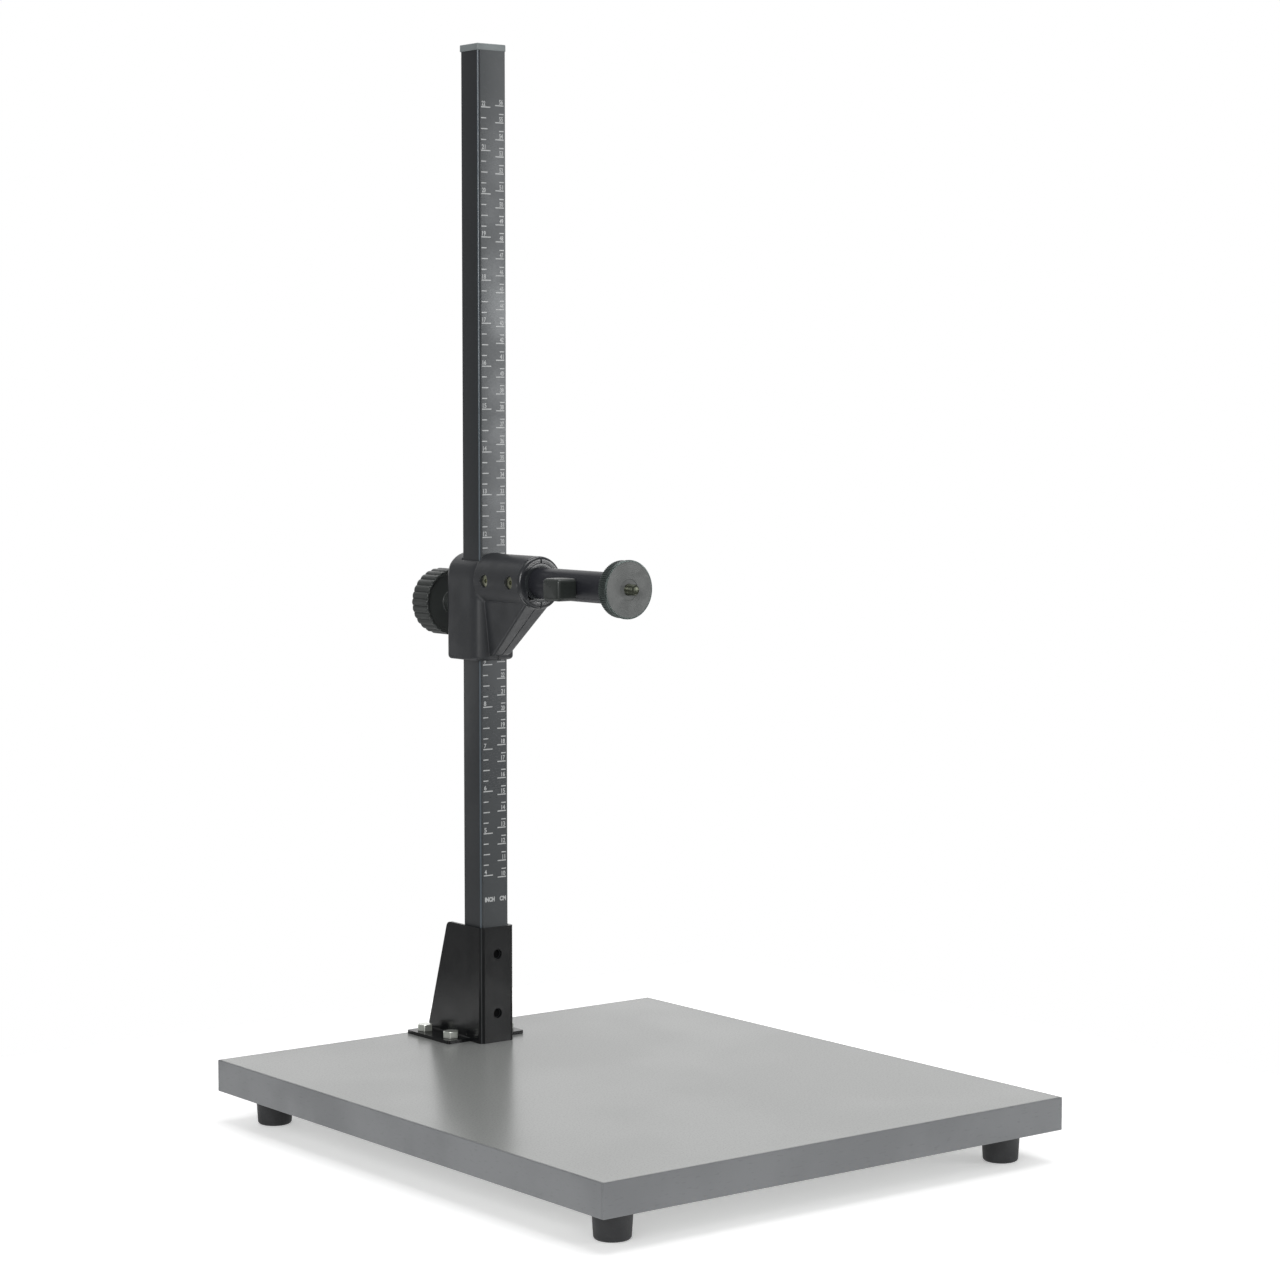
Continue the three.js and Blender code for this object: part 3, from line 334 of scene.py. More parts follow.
def softRows(low, high, lowRound, highRound, steps=5):
    # Rows of a loft whose two ends are rounded and closed at the middle
    angle = np.linspace(0, pi / 2, steps + 1)
    lower = [(lowRound * (1 - np.sin(a)), low + lowRound * (1 - np.cos(a))) for a in angle]
    upper = [(highRound * (1 - np.sin(a)), high - highRound * (1 - np.cos(a))) for a in angle[::-1]]
    return [(None, low), *lower, *upper, (None, high)]


def softenNode(name, node, finish, body, width, sharp=30, flat=0.5):
    # A copy of the node, welded and with its flat faces whole again; its edges are broken by a fine
    # bevel, and its large faces keep even normals
    work = bmesh.new()
    work.from_mesh(bpy.data.objects[node].data)
    bmesh.ops.remove_doubles(work, verts=work.verts, dist=weldDistance * millimetre)
    bmesh.ops.dissolve_limit(work, angle_limit=radians(flat), verts=work.verts, edges=work.edges)
    mesh = bpy.data.meshes.new(name)
    work.to_mesh(mesh)
    work.free()
    mesh.shade_smooth()
    mesh.materials.append(material[finish])
    piece = bpy.data.objects.new(name, mesh)
    bpy.context.scene.collection.objects.link(piece)
    bevel = piece.modifiers.new("edges", "BEVEL")
    bevel.width = width * millimetre
    bevel.segments = 2
    bevel.limit_method = "ANGLE"
    bevel.angle_limit = radians(sharp)
    mesh.set_sharp_from_angle(angle=radians(sharp))
    evened = piece.modifiers.new("evened", "WEIGHTED_NORMAL")
    evened.keep_sharp = True
    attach(piece, body)
    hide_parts(node)


def dressNodes(finish, *nodes):
    # Nodes that keep their own mesh
    for node in nodes:
        shape = bpy.data.objects[node].data
        shape.materials.clear()
        shape.materials.append(material[finish])


# Baseboard and feet
board = {"width": 320, "depth": 375, "edge": 0.35}
feet = {"inset": 24, "height": 18.05, "topRadius": 10.9, "bottomRadius": 9.8, "round": 1.9, "topRound": 0.4,
        "recessRadius": 5.5, "recessDepth": 9, "recessRound": 0.5, "bore": 2.4, "sides": 64}


def makeFeet(f, b):
    # One closed profile of radius and height, turned round an upright axis at each corner
    top, recess = f["height"], f["recessRadius"]
    profile = rounded([
        (f["bore"], f["recessDepth"]), (recess, f["recessDepth"]), (recess, 0, f["recessRound"]),
        (f["bottomRadius"], 0, f["round"]), (f["topRadius"], top, f["topRound"]), (f["bore"], top),
    ], closed=True)
    faces = gridFaces(len(profile), f["sides"], ring=True)
    for end, signY in (("front", -1), ("back", 1)):
        for side, signX in (("left", -1), ("right", 1)):
            place = (signX * (b["width"] / 2 - f["inset"]), signY * (b["depth"] / 2 - f["inset"]), 0)
            name = f"foot_{end}_{side}"
            grid = turn(profile, "z", place, f["sides"])
            addPiece(name + "_rubber", grid.reshape(-1, 3), faces, "rubber", "stand", [name])


for side in ("front", "back", "left", "right"):
    softenNode(f"edge_band_{side}_strip", f"edge_band_{side}", "edgeBand", "stand",
               board["edge"])
dressNodes("laminate", "board_core")
makeFeet(feet, board)
print("baseboard made")


# Column: tube, plate with the scale, cap
column = {"width": 20, "depth": 18, "wall": 1.5, "corner": 1.5, "innerCorner": 0.6, "bottom": 36.65,
          "length": 592, "middle": 141.55}
plate = {"width": 18, "front": 131.3, "back": 132.5, "round": 0.4}
cap = {"width": 20.7, "depth": 18.7, "corner": 0.9, "bottom": 628.7, "height": 4, "lowRound": 0.25,
       "round": 0.55, "plugEnd": 616.65, "plugInset": 1.95, "plugWall": 1.6}
# The marks' lengths repeat upwards from each numbered mark. A label has its text, left end and width.
scale = {
    "proud": 0.03, "sunk": 0.05, "zero": 36.6, "line": 0.62,
    "inch": {"edge": -8.5, "inwards": 1, "step": 25.4 / 4, "first": 16, "last": 88,
             "lengths": [6.7, 3.6, 4.6, 3.6]},
    "centimetre": {"edge": 7.7, "inwards": -1, "step": 5, "first": 20, "last": 112, "lengths": [6.0, 3.2]},
    "digit": 2.75, "digitWidths": (1.7, 2.6), "onesShare": 0.75, "digitInset": 0.5, "digitLift": 0.75,
    "digitBold": 0.02,
    "labels": (("INCH", -7.7, 7.1), ("CM", 3.1, 4.6)), "labelLift": 85.5, "labelSize": 2.9,
    "labelBold": 0.06,
}


def makeColumn(c, p, k):
    # The tube is one ring outside and one inside, the plate a section carried up, and the cap a
    # rounded plate on a hollow plug
    top = c["bottom"] + c["length"]
    rows = [(0, c["bottom"]), (0, top)]
    outer = loft(c["width"], c["depth"], c["corner"], rows)
    wall = 2 * c["wall"]
    inner = loft(c["width"] - wall, c["depth"] - wall, c["innerCorner"], rows[::-1])
    grid = np.concatenate([outer, inner])
    grid[..., 1] += c["middle"]
    addPiece("column_tube_steel", grid.reshape(-1, 3), gridFaces(*grid.shape[:2], ring=True), "columnCoat",
             "stand", ["column_tube"])
    half = p["width"] / 2
    section = rounded([(-half, p["back"]), (-half, p["front"], p["round"]), (half, p["front"], p["round"]),
                       (half, p["back"])], closed=True)
    middle = np.array([0, (p["front"] + p["back"]) / 2])
    rings = [(0, c["bottom"]), (1, c["bottom"]), (1, top), (0, top)]
    grid = np.stack([np.column_stack([middle + share * (section - middle), np.full(len(section), z)])
                     for share, z in rings])
    addPiece("column_scale_plate", grid.reshape(-1, 3), gridFaces(*grid.shape[:2]), "scalePlate", "stand",
             ["column_scale"])
    low, high = k["bottom"], k["bottom"] + k["height"]
    outside, inside = k["plugInset"], k["plugInset"] + k["plugWall"]
    plug = [(None, low), (inside, low), (inside, k["plugEnd"]), (outside, k["plugEnd"]), (outside, low)]
    lid = softRows(low, high, k["lowRound"], k["round"])[1:]
    grid = loft(k["width"], k["depth"], k["corner"], plug + lid)
    grid[..., 1] += c["middle"]
    addPiece("column_cap_plate", grid.reshape(-1, 3), gridFaces(*grid.shape[:2]), "capPlastic", "stand",
             ["column_cap"])


def slab(left, right, low, high, front, back):
    # Flat bars, each a box of eight corners from its left, right, low and high places
    x = np.stack([left, right, right, left, left, right, right, left], -1)
    z = np.stack([low, low, high, high, low, low, high, high], -1)
    y = np.broadcast_to([front] * 4 + [back] * 4, x.shape)
    points = np.stack([x, y, z], -1)
    sides = np.array([[0, 1, 2, 3], [5, 4, 7, 6], [1, 5, 6, 2], [4, 0, 3, 7], [3, 2, 6, 7], [4, 5, 1, 0]])
    faces = sides[None] + 8 * np.arange(len(x))[:, None, None]
    return points.reshape(-1, 3), faces.reshape(-1, 4)


def writing(text, size, width, place, depth, align, bold, extrude=0.01):
    # The letters of Blender's own font as a thin mesh, set upright on the plate
    curve = bpy.data.curves.new("writing", "FONT")
    curve.body = text
    curve.size = 1
    curve.extrude = extrude
    curve.offset = bold
    letters = bpy.data.objects.new("writing", curve)
    bpy.context.scene.collection.objects.link(letters)
    bpy.context.view_layer.update()
    mesh = letters.to_mesh()
    flat = np.empty(3 * len(mesh.vertices))
    mesh.vertices.foreach_get("co", flat)
    faces = [list(face.vertices) for face in mesh.polygons]
    letters.to_mesh_clear()
    bpy.data.objects.remove(letters)
    x, z, y = flat.reshape(-1, 3).T
    x = (x - x.min()) / (x.max() - x.min()) * width - (width if align == "right" else 0)
    z = (z - z.min()) / (z.max() - z.min()) * size
    front, back = depth
    return np.stack([x + place[0], np.where(y > 0, front, back), z + place[1]], -1), faces


def scaleMarks(s, side, depth):
    # The bars of one side of the scale and the shapes of its numbers
    marks = s[side]
    edge, inwards = marks["edge"], marks["inwards"]
    period = len(marks["lengths"])
    number = np.arange(marks["first"], marks["last"] + 1)
    z = s["zero"] + number * marks["step"]
    far = edge + inwards * np.array(marks["lengths"])[number % period]
    bars = np.minimum(edge, far), np.maximum(edge, far), z - s["line"] / 2, z + s["line"] / 2
    align = "left" if inwards > 0 else "right"
    shapes = []
    for n in number[number % period == 0].tolist():
        text = str(n // period)
        width = s["digitWidths"][len(text) - 1] * (s["onesShare"] if text == "1" * len(text) else 1)
        place = edge + inwards * s["digitInset"], s["zero"] + n * marks["step"] + s["digitLift"]
        shapes.append(writing(text, s["digit"], width, place, depth, align, s["digitBold"]))
    return bars, shapes


def makeScale(s, p):
    # Bars, numbers and unit marks as one mesh that stands a hair proud of the plate
    depth = p["front"] - s["proud"], p["front"] + s["sunk"]
    bars, shapes = zip(*[scaleMarks(s, side, depth) for side in ("inch", "centimetre")])
    shapes = [shape for side in shapes for shape in side]
    for text, left, width in s["labels"]:
        place = left, s["zero"] + s["labelLift"]
        shapes.append(writing(text, s["labelSize"], width, place, depth, "left", s["labelBold"]))
    shapes.append(slab(*(np.concatenate(part) for part in zip(*bars)), *depth))
    points = np.concatenate([shape for shape, _ in shapes])
    faces, count = [], 0
    for shape, sides in shapes:
        faces += [[int(corner) + count for corner in face] for face in sides]
        count += len(shape)
    mesh = bpy.data.meshes.new("column_scale_print")
    mesh.from_pydata((points * millimetre).tolist(), [], faces)
    mesh.materials.append(material["print"])
    piece = bpy.data.objects.new("column_scale_print", mesh)
    bpy.context.scene.collection.objects.link(piece)
    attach(piece, "stand")


makeColumn(column, plate, cap)
makeScale(scale, plate)
# The column screws' ends are near black, partly painted shade that stands in for the dark holes they sit in
dressNodes("holeShadeBlack", "column_screw_lower", "column_screw_upper")
print("column made")


# Bracket and its screws
bracket = {"edge": 0.4}
bracketScrew = {"x": 20.2, "front": 149.95, "back": 177.55, "seat": 38.7, "flats": 8.8, "height": 4,
                "corner": 4.96, "seatRound": 0.15, "topRound": 0.3, "topMiddle": (0.1, 0.12),
                "margin": 0.1, "slope": 0.7, "shank": 2.2, "end": 24.65, "point": 4.4, "sides": 144,
                "turns": {"front_left": 22, "front_right": 5, "back_left": 22, "back_right": 47}}


def makeBracketScrews(s):
    # Six sides: half the flats over the cosine of the angle to the nearest flat, cut off at the
    # corner's radius. The top falls by a share of what the side stands out beyond the flats.
    half, top = s["flats"] / 2, s["seat"] + s["height"]
    low, high, (across, down) = s["seatRound"], s["topRound"], s["topMiddle"]
    for corner, turned in s["turns"].items():
        end, side = corner.split("_")
        angle = np.linspace(0, 2 * pi, s["sides"], endpoint=False)
        fromFlat = np.mod(angle - radians(turned) + pi / 6, pi / 3) - pi / 6
        reach = np.minimum(half / np.cos(fromFlat), s["corner"])
        fall = np.maximum(reach - half - s["margin"], 0) * s["slope"]
        rows = [(0, s["end"]), (s["shank"], s["end"] + s["point"]), (s["shank"], s["seat"]),
                (reach - low, s["seat"]), (reach, s["seat"] + low), (reach, top - high - fall),
                (reach - across, top - down - fall),
                (np.minimum(reach - high, half - s["margin"]), top), (0, top)]
        radius = np.stack([r + 0 * angle for r, _ in rows])
        height = np.stack([z + 0 * angle for _, z in rows])
        sign = -1 if side == "left" else 1
        grid = turnField(radius, height, angle, "z", (sign * s["x"], s[end], 0))
        addPiece(f"bracket_screw_{corner}_head", grid.reshape(-1, 3), gridFaces(*grid.shape[:2]), "zinc",
                 "stand", [f"bracket_screw_{corner}"], sharp=24)


softenNode("column_bracket_sheet", "column_bracket", "bracketCoat", "stand",
           bracket["edge"])
makeBracketScrews(bracketScrew)
print("bracket made")


# Carriage housing: one field of distances for both halves. Its places are from the middle of the
# column's passage at the height of the arm's axis, with y to the back.
carriage = {"y": 140.925, "z": 316.1}
housing = {
    "radius": 15.6, "drop": 48.3, "front": -13.425, "back": 20.175, "frontCorner": 10, "backCorner": 4,
    "round": 3, "rim": 2.4, "mouth": -56.925, "mouthRound": 2, "root": -9.925,
    "toe": 45.2, "foot": (-18.425, -43.8), "head": (-54.925, -12.1), "footHalf": 6.5, "headHalf": 9.4,
    "gussetRound": 1.4, "clampDrop": 15.55, "clampRadius": 9.2, "clampEnd": 25.175, "clampRound": 0.8,
    "hiddenRound": 0.1, "bossFillet": 1.6, "gussetFillet": 0.4, "clampFillet": 1.4, "cutEdge": 0.35,
    "passage": {"halfWidth": 10.3, "halfDepth": 9.925},
    "armBore": {"radius": 9.2, "back": -14.575}, "mouthBore": {"radius": 10.9, "back": -53.375},
    "pocket": {"half": 7.3, "back": 14.375}, "nut": {"half": 6.6, "front": 15.575, "back": 22.125},
    "stud": 4.3,
    "screws": {"places": (-45.325, -20.225), "headRadius": 3.8, "headEnd": -11.35, "shankRadius": 2.3,
               "pilotRadius": 2.1, "pilotEnd": 11},
    "seam": 0.05, "seamEdge": 0.3, "margin": 1.0, "step": 0.45,
}


def roundMax(a, b, r):
    # The farther of two distances, with the edge between them rounded by r
    return np.minimum(np.maximum(a, b) + r, 0) + np.hypot(np.maximum(a + r, 0), np.maximum(b + r, 0)) - r


def softMin(a, b, r):
    # The nearer of two distances, with a fillet of about r where they meet
    h = np.clip(0.5 + 0.5 * (b - a) / r, 0, 1)
    return b * (1 - h) + a * h - r * h * (1 - h)


def between(value, low, high):
    # The distance outside of a stretch, negative within it
    return np.abs(value - (low + high) / 2) - (high - low) / 2


def housingBody(h, x, y, z):
    # The distance to the outside: sleeve with an arched top, boss, gusset and clamp boss, joined
    # with fillets
    side = np.abs(x)
    corner = np.where(y < 0, h["frontCorner"], h["backCorner"])
    qx, qy = side - h["radius"] + corner, between(y, h["front"], h["back"]) + corner
    plan = np.hypot(np.maximum(qx, 0), np.maximum(qy, 0)) + np.minimum(np.maximum(qx, qy), 0) - corner
    arch = np.hypot(x, np.maximum(z, 0)) - h["radius"]
    sleeve = roundMax(roundMax(plan, arch, h["round"]), -z - h["drop"], h["rim"])
    ring = np.hypot(x, z) - h["radius"]
    boss = roundMax(roundMax(ring, h["mouth"] - y, h["mouthRound"]), y - h["root"], h["hiddenRound"])
    run = np.subtract(h["head"], h["foot"])
    normal = np.array([-run[1], run[0]]) / np.hypot(*run)
    slant = normal[0] * (y - h["foot"][0]) + normal[1] * (z - h["foot"][1])
    half = h["footHalf"] + (h["headHalf"] - h["footHalf"]) * (z - h["foot"][1]) / run[1]
    web = roundMax(roundMax(slant, -z - h["toe"], h["gussetRound"]), side - half, h["gussetRound"])
    web = np.maximum(np.maximum(web, y - h["root"]), z)
    clampRing = np.hypot(x, z + h["clampDrop"]) - h["clampRadius"]
    clampBoss = roundMax(roundMax(clampRing, y - h["clampEnd"], h["clampRound"]), -y, h["hiddenRound"])
    body = softMin(softMin(sleeve, boss, h["bossFillet"]), web, h["gussetFillet"])
    return softMin(body, clampBoss, h["clampFillet"])


def housingHollows(h, x, y, z):
    # The distances to the passage, the arm's two bores, the pad's pocket, the stud's hole, the
    # nut's pocket, whose section has six sides, and the cross screws' holes
    side, low = np.abs(x), z + h["clampDrop"]
    passage, armBore, mouthBore = h["passage"], h["armBore"], h["mouthBore"]
    pocket, nut, screws = h["pocket"], h["nut"], h["screws"]
    sixSides = np.maximum(side, side / 2 + np.abs(low) * np.cos(pi / 6))
    hollows = [
        np.maximum(side - passage["halfWidth"], np.abs(y) - passage["halfDepth"]),
        np.maximum(np.hypot(x, z) - armBore["radius"], y - armBore["back"]),
        np.maximum(np.hypot(x, z) - mouthBore["radius"], y - mouthBore["back"]),
        np.maximum(np.maximum(side, np.abs(low)) - pocket["half"], between(y, 0, pocket["back"])),
        np.hypot(np.hypot(x, low), np.maximum(-y, 0)) - h["stud"],
        np.maximum(sixSides - nut["half"], between(y, nut["front"], nut["back"])),
    ]
    for place in screws["places"]:
        rod = np.hypot(y - place, z)
        hollows += [np.maximum(rod - screws["headRadius"], x - screws["headEnd"]),
                    np.maximum(rod - screws["shankRadius"], x),
                    np.maximum(rod - screws["pilotRadius"], x - screws["pilotEnd"])]
    return hollows


def housingField(h, x, y, z):
    # The body less its hollows, with a small round at each edge that they leave
    field = housingBody(h, x, y, z)
    for hollow in housingHollows(h, x, y, z):
        field = roundMax(field, -hollow, h["cutEdge"])
    return field


def netSurface(field, low, high, step, small=0.02, leastSlope=0.5, passes=3):
    # One point in each cell that the surface crosses, at the mean of its edge crossings, then drawn
    # onto the surface along the slope; four cells round a crossed edge make a face
    axes = [np.arange(a, b + step, step) for a, b in zip(low, high)]
    value = field(*np.meshgrid(*axes, indexing="ij", sparse=True)).astype(np.float32)
    inside = value < 0
    shape = np.array(value.shape) - 1
    total, count = np.zeros((*shape, 3), np.float32), np.zeros(shape, np.float32)
    crossed = []
    for axis in range(3):
        first = [slice(None)] * 3
        second = [slice(None)] * 3
        first[axis], second[axis] = slice(0, -1), slice(1, None)
        a, b = value[tuple(first)], value[tuple(second)]
        change = inside[tuple(first)] != inside[tuple(second)]
        share = np.where(change, a / np.where(change, a - b, 1), 0)
        crossed.append((change, inside[tuple(first)]))
        others = [k for k in range(3) if k != axis]
        for u in (0, 1):
            for v in (0, 1):
                window = [slice(None)] * 3
                window[others[0]] = slice(u, u + shape[others[0]])
                window[others[1]] = slice(v, v + shape[others[1]])
                here = change[tuple(window)]
                count += here
                total[..., axis] += np.where(here, share[tuple(window)], 0)
                total[..., others[0]] += here * u
                total[..., others[1]] += here * v
    cells = np.argwhere(count > 0)
    at = tuple(cells.T)
    points = (cells + total[at] / count[at][:, None]) * step + np.array(low)
    number = np.full(shape, -1)
    number[at] = np.arange(len(cells))
    for _ in range(passes):
        here = field(*points.T)
        slope = np.stack([field(*(points + small * unit).T) - field(*(points - small * unit).T)
                          for unit in np.eye(3)], -1) / (2 * small)
        steepness = np.maximum((slope ** 2).sum(-1, keepdims=True), leastSlope ** 2)
        move = -here[:, None] * slope / steepness
        points = points + np.clip(move, -step / 2, step / 2)
    faces = []
    for axis, (change, start) in enumerate(crossed):
        u, v = [k for k in range(3) if k != axis]
        edge = np.argwhere(change)
        edge = edge[(edge[:, u] > 0) & (edge[:, v] > 0) & (edge[:, u] < shape[u]) & (edge[:, v] < shape[v])]
        steps = np.zeros((4, 3), int)
        steps[[1, 2], u] = -1
        steps[[2, 3], v] = -1
        quad = np.stack([number[tuple((edge + move).T)] for move in steps], -1)
        flip = start[tuple(edge.T)] == (axis == 1)
        faces.append(np.where(flip[:, None], quad[:, ::-1], quad))
    return points, np.concatenate(faces)


def makeHousing(h, c):
    # Each half is the field cut off at the seam
    for name, sign in (("housing_left", 1), ("housing_right", -1)):
        def field(x, y, z):
            return roundMax(housingField(h, x, y, z), sign * x + h["seam"], h["seamEdge"])
        low = np.array([-h["radius"], h["mouth"], -h["drop"]]) - h["margin"]
        high = np.array([h["radius"], h["clampEnd"], h["radius"]]) + h["margin"]
        (high if sign > 0 else low)[0] = sign * h["margin"]
        points, faces = netSurface(field, low, high, h["step"])
        points += np.array([0, c["y"], c["z"]])
        addPiece(name + "_shell", points, faces, "housingPlastic", "carriage", [name],
                 sharp=60)


makeHousing(housing, carriage)
dressNodes("olivedZinc", "cross_screw_front", "cross_screw_back")
dressNodes("zinc", "clamp_nut")
print("housing made")


# Clamp knob
knob = {"front": 32.875, "length": 17.2, "radius": 20.2, "frontRound": 0.7, "backRound": 2,
        "flutes": 28, "depth": 0.9, "stepsPerFlute": 12, "crestPower": 0.6, "fluteStart": 0.8,
        "frontRow": 3, "backRow": 4, "rim": 3, "hubRadius": 7, "hub": 4.6, "hubRound": 0.6,
        "dish": 1.6, "dishRound": 0.8, "dishEdge": 0.5, "recess": 1.2, "recessRound": 0.6,
        "recessEdge": 0.4, "bore": 4.05, "boreEdge": 0.2, "socket": 12.05}


def makeKnob(k, c, drop):
    # The radius falls by the flute's depth towards each groove, and less so near the end faces. The
    # front and back rows part the grip's straight side.
    front, back, radius = k["front"], k["front"] + k["length"], k["radius"]
    inside, hub, floor, end = radius - k["rim"], front - k["hub"], front + k["dish"], back - k["recess"]
    profile = rounded([
        (0, front + k["socket"]), (k["bore"], front + k["socket"]), (k["bore"], hub, k["boreEdge"]),
        (k["hubRadius"], hub, k["hubRound"]), (k["hubRadius"], floor, k["dishRound"]),
        (inside, floor, k["dishRound"]), (inside + k["dish"], front, k["dishEdge"]),
        (radius, front, k["frontRound"]), (radius, front + k["frontRow"]), (radius, back - k["backRow"]),
        (radius, back, k["backRound"]), (inside, back, k["recessEdge"]),
        (inside - k["recess"], end, k["recessRound"]), (0, end),
    ])
    sides = k["flutes"] * k["stepsPerFlute"]
    angle = np.linspace(0, 2 * pi, sides, endpoint=False)
    crest = np.abs(np.cos(angle * k["flutes"] / 2)) ** k["crestPower"]
    radius, place = profile[:, :1], profile[:, 1:]
    share = np.clip((radius - inside - k["fluteStart"]) / (k["rim"] - k["fluteStart"]), 0, 1)
    radius = radius - k["depth"] * (1 - crest) * share
    grid = turnField(radius, place + 0 * angle, angle, "y", (0, c["y"], c["z"] - drop))
    addPiece("clamp_knob_grip", grid.reshape(-1, 3), gridFaces(*grid.shape[:2]), "gripPlastic", "clamp_knob",
             ["clamp_knob"], sharp=40)


makeKnob(knob, carriage, housing["clampDrop"])
dressNodes("brass", "clamp_pad", "lock_tip")
dressNodes("zinc", "clamp_stud", "spindle_clip")
print("clamp made")


# Arm: tube, collar, wheel, pad and camera screw, with y from the middle of the board
arm = {"radius": 9.1, "bore": 6.1, "front": 7.2, "back": 126.3, "frontEdge": 0.4, "edge": 0.2, "sides": 96}
collar = {"radius": 10.8, "bore": 9.15, "front": 83.95, "back": 87.5, "lip": 11.4, "lipBack": 84.15,
          "edge": 0.1}
wheel = {"bore": 4.75, "lipFront": -0.6, "floor": 0.35, "lip": 15.9, "lipEdge": 0.1, "lipRound": 0.5,
         "radius": 16.85, "flange": 0.7, "groove": 1.3, "grooveDepth": 0.7, "rim": 16.5, "rimEdge": 0.15,
         "back": 6.9, "backRound": 0.5, "teeth": 84, "tooth": 0.45, "toothSlope": 1.6,
         "stepsPerTooth": 6, "slack": 0.01}
pad = {"face": -0.9, "back": 0.3, "radius": 15.85, "edge": 0.2, "hole": 6.2, "holeEdge": 0.1,
       "step": -0.45, "bore": 3.3, "boreEdge": 0.2, "rings": 9, "ringDepth": 0.09, "ringMargin": 0.25,
       "stepsPerRing": 8, "sides": 128}
cameraScrew = {"front": -6.9, "back": 7.1, "radius": 3.17, "pitch": 1.27, "depth": 0.62, "slope": 1.25,
               "rootShare": 0.12, "round": 1.5, "rows": 170, "sides": 48}


def makeArm(a, o, c):
    # Tube and collar are closed profiles turned round the arm's axis
    tube = rounded([(a["bore"], a["front"], a["edge"]), (a["radius"], a["front"], a["frontEdge"]),
                    (a["radius"], a["back"], a["edge"]), (a["bore"], a["back"], a["edge"])], closed=True)
    ring = rounded([(o["bore"], o["front"], o["edge"]), (o["lip"], o["front"], o["edge"]),
                    (o["lip"], o["lipBack"]), (o["radius"], o["lipBack"]), (o["radius"], o["back"]),
                    (o["bore"], o["back"])], closed=True)
    for name, profile, finish, slot, stands in (
            ("arm_tube_steel", tube, "armCoat", "arm_coat", "arm_tube"),
            ("arm_collar_ring", ring, "collarPlastic", "knob_plastic", "arm_collar")):
        grid = turn(profile, "y", (0, 0, c["z"]), a["sides"])
        addPiece(name, grid.reshape(-1, 3), gridFaces(*grid.shape[:2], ring=True), finish, "carriage",
                 [stands])


def makeWheel(w, c):
    # The rim's radius goes up and down with the angle as a row of flat topped teeth
    root = w["rim"] - w["grooveDepth"]
    profile = rounded([
        (w["bore"], w["floor"]), (w["lip"], w["floor"]), (w["lip"], w["lipFront"], w["lipEdge"]),
        (w["radius"], w["lipFront"], w["lipRound"]), (w["radius"], w["flange"], w["lipEdge"]),
        (root, w["flange"]), (root, w["groove"]), (w["rim"], w["groove"], w["rimEdge"]),
        (w["rim"], w["back"], w["backRound"]), (w["bore"], w["back"]),
    ], closed=True)
    radius, place = profile[:, :1], profile[:, 1:]
    angle = np.linspace(0, 2 * pi, w["teeth"] * w["stepsPerTooth"], endpoint=False)
    tooth = np.clip(np.cos(angle * w["teeth"]) * w["toothSlope"], -1, 1) / 2 - 0.5
    onRim = (radius > w["rim"] - w["tooth"]) & (place > w["groove"] - w["slack"])
    grid = turnField(radius + w["tooth"] * tooth * onRim, place + 0 * angle, angle, "y", (0, 0, c["z"]))
    addPiece("camera_wheel_rim", grid.reshape(-1, 3), gridFaces(*grid.shape[:2], ring=True), "wheelMetal",
             "camera_spindle", ["camera_wheel"], sharp=28)


def makePad(p, c):
    # Shallow rings: the face goes back by the cosine of the share of the way across
    share = np.linspace(0, 1, p["rings"] * p["stepsPerRing"] + 1)
    inner, outer = p["hole"] + p["holeEdge"], p["radius"] - p["ringMargin"]
    face = p["face"] + p["ringDepth"] * (1 - np.cos(share * p["rings"] * 2 * pi)) / 2
    rings = np.column_stack([inner + (outer - inner) * share, face])
    rest = rounded([
        (p["radius"] - p["edge"], p["face"]), (p["radius"], p["face"], p["edge"]), (p["radius"], p["back"]),
        (p["bore"], p["back"]), (p["bore"], p["step"], p["boreEdge"]), (p["hole"], p["step"], p["holeEdge"]),
        (p["hole"], p["face"] + p["holeEdge"]),
    ])
    grid = turn(np.concatenate([rings, rest]), "y", (0, 0, c["z"]), p["sides"])
    addPiece("camera_pad_facing", grid.reshape(-1, 3), gridFaces(*grid.shape[:2], ring=True), "padRubber",
             "camera_spindle", ["camera_pad"], sharp=40)


def makeCameraScrew(s, c):
    # The thread: the radius falls and rises with the place along the axis less the angle's share
    # of a pitch; at the tip it follows a quarter circle
    angle = np.linspace(0, 2 * pi, s["sides"], endpoint=False)
    place = np.linspace(s["front"], s["back"], s["rows"])[:, None] + 0 * angle
    phase = np.mod((place - s["front"]) / s["pitch"] - angle / (2 * pi), 1)
    wave = np.clip(np.abs(2 * phase - 1) * s["slope"], s["rootShare"], 1)
    start = np.clip((place - s["front"]) / s["round"], 0, 1)
    tip = s["radius"] - s["round"] * (1 - np.sqrt(np.clip(1 - (1 - start) ** 2, 0, 1)))
    radius = np.minimum(s["radius"] - s["depth"] * (1 - wave), tip)
    ends = np.zeros((1, s["sides"]))
    radius = np.concatenate([ends, radius, ends])
    place = np.concatenate([place[:1], place, place[-1:]])
    grid = turnField(radius, place, angle, "y", (0, 0, c["z"]))
    addPiece("camera_screw_thread", grid.reshape(-1, 3), gridFaces(*grid.shape[:2]), "bronzedSteel",
             "camera_spindle", ["camera_screw"], sharp=50)


makeArm(arm, collar, carriage)
makeWheel(wheel, carriage)
makePad(pad, carriage)
makeCameraScrew(cameraScrew, carriage)
dressNodes("bronzedSteel", "spindle")
dressNodes("palePlastic", "spindle_bush_front", "spindle_bush_back")
print("arm made")


# Lock screw
lock = {"y": 44.25, "drop": 1.4, "length": 15.7, "height": 13, "outer": -22.5, "inner": -9.6,
        "corner": 2.4, "outerRound": 2.2, "innerRound": 0.5}


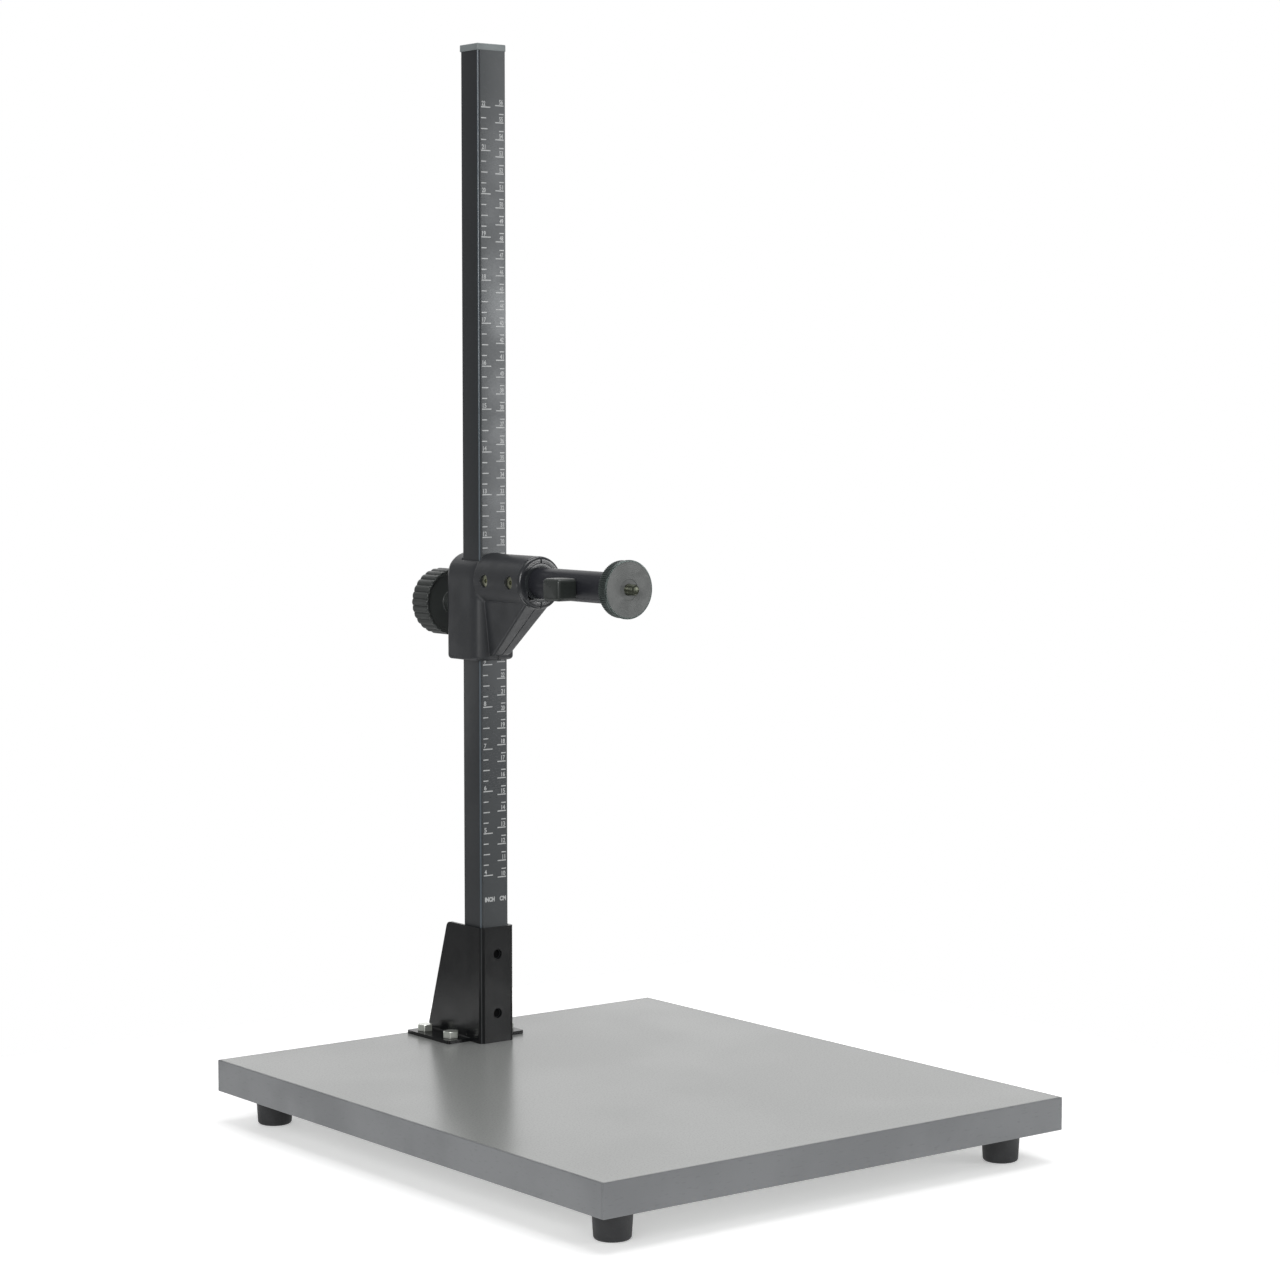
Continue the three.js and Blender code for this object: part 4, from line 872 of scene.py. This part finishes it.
def makeLock(k, c):
    # A rounded rectangle carried along x, drawn in at both ends by a quarter circle
    rows = softRows(k["outer"], k["inner"], k["outerRound"], k["innerRound"])
    grid = loft(k["length"], k["height"], k["corner"], rows)
    grid = np.stack([grid[..., 2], grid[..., 0] + k["y"], grid[..., 1] + c["z"] - k["drop"]], -1)
    addPiece("lock_head_block", grid.reshape(-1, 3), gridFaces(*grid.shape[:2]), "lockPlastic", "lock_head",
             ["lock_head"], sharp=40)


makeLock(lock, carriage)
dressNodes("blackSteel", "lock_stem")
dressNodes("zinc", *[f"foot_{part}_{end}_{side}" for part in ("washer", "screw") for end in ("front", "back")
                     for side in ("left", "right")])
print("lock made")


# Floor, light and camera. Places and sizes are in metres, the relief, lens and sensor in millimetres.
floor = {"size": 0.86, "tones": [(250, 250, 250), (247, 247, 247)], "roughness": (0.75, 0.85),
         "relief": 0.02, "cloudScale": 6, "roughnessScale": 40, "roughnessRange": (0.3, 0.7),
         "grainScale": 300, "metallic": 0.0, "specular": 0.2, "glow": 0.35}
lights = {
    "top": {"place": (0.2, -0.1, 2.2), "aim": (0, 0, 0.1), "size": (1.6, 1.6), "power": 24},
    "right": {"place": (1.48, -1.62, 0.49), "aim": (0, 0.05, 0.42), "size": (0.8, 0.5), "power": 9},
    "left": {"place": (-1.75, -1.25, 0.98), "aim": (0, 0, 0.35), "size": (0.9, 1.2), "power": 20},
    "back": {"place": (1.25, 2.3, 1.15), "aim": (0, 0, 0.3), "size": (3.9, 2.2), "power": 22},
    "low": {"place": (-0.9, 1.45, 0.09), "aim": (0, 0.14, 0.2), "size": (0.6, 0.14), "power": 0.3},
}
camera = {"place": (-1.09469, -1.42358, 0.42268), "azimuth": -37.769, "elevation": 4.301, "lens": 89.54,
          "sensor": 36, "clip": (0.05, 50)}
worldLevel = 0.3


def makeFloor(f):
    # White paper that glows a little, so that it fades into the background
    half = f["size"] / 2
    mesh = bpy.data.meshes.new("floor")
    corners = [(-half, -half, 0), (half, -half, 0), (half, half, 0), (-half, half, 0)]
    mesh.from_pydata(corners, [], [(0, 1, 2, 3)])
    paint, shader, place = startMaterial("floorPaint", f)
    colour = place.noise(f["cloudScale"], 3).blend(*[linear(tone) for tone in f["tones"]])
    roughness = place.noise(f["roughnessScale"]).ramp(*f["roughnessRange"], *f["roughness"])
    connect(shader, place, colour, roughness, place.noise(f["grainScale"]), f["relief"])
    shader.inputs["Emission Color"].default_value = (1, 1, 1, 1)
    shader.inputs["Emission Strength"].default_value = f["glow"]
    mesh.materials.append(paint)
    ground = bpy.data.objects.new("floor", mesh)
    bpy.context.scene.collection.objects.link(ground)


def makeLight(name, one):
    # Turned to its aim by the arctangents of the way there
    data = bpy.data.lights.new(name, "AREA")
    data.shape = "RECTANGLE"
    data.size, data.size_y = one["size"]
    data.energy = one["power"]
    lamp = bpy.data.objects.new(name, data)
    lamp.location = one["place"]
    aim = np.subtract(one["aim"], one["place"])
    yaw, pitch = np.arctan2(-aim[0], aim[1]), np.arctan2(np.hypot(aim[0], aim[1]), -aim[2])
    lamp.rotation_euler = (float(pitch), 0, float(yaw))
    bpy.context.scene.collection.objects.link(lamp)


def makeCamera(c):
    # Stands where the photo was taken, level but for its elevation
    data = bpy.data.cameras.new("photoCamera")
    data.lens = c["lens"]
    data.sensor_width = c["sensor"]
    data.sensor_fit = "HORIZONTAL"
    data.clip_start, data.clip_end = c["clip"]
    seen = bpy.data.objects.new("photoCamera", data)
    seen.location = c["place"]
    seen.rotation_euler = (radians(90 - c["elevation"]), 0, radians(c["azimuth"]))
    bpy.context.scene.collection.objects.link(seen)
    bpy.context.scene.camera = seen


def makeWorld(level):
    # White behind the object, and dimmer where it lights the object
    world = bpy.data.worlds.new("studio")
    world.use_nodes = True
    tree = world.node_tree
    seen = Wire(tree, tree.nodes.new("ShaderNodeLightPath").outputs["Is Camera Ray"])
    background = tree.nodes["Background"]
    background.inputs["Color"].default_value = (1, 1, 1, 1)
    tree.links.new(seen.ramp(0, 1, level, 1).socket, background.inputs["Strength"])
    bpy.context.scene.world = world


makeFloor(floor)
for name, one in lights.items():
    makeLight(name, one)
makeCamera(camera)
makeWorld(worldLevel)
bpy.context.scene.view_settings.view_transform = "Standard"
print("studio made")
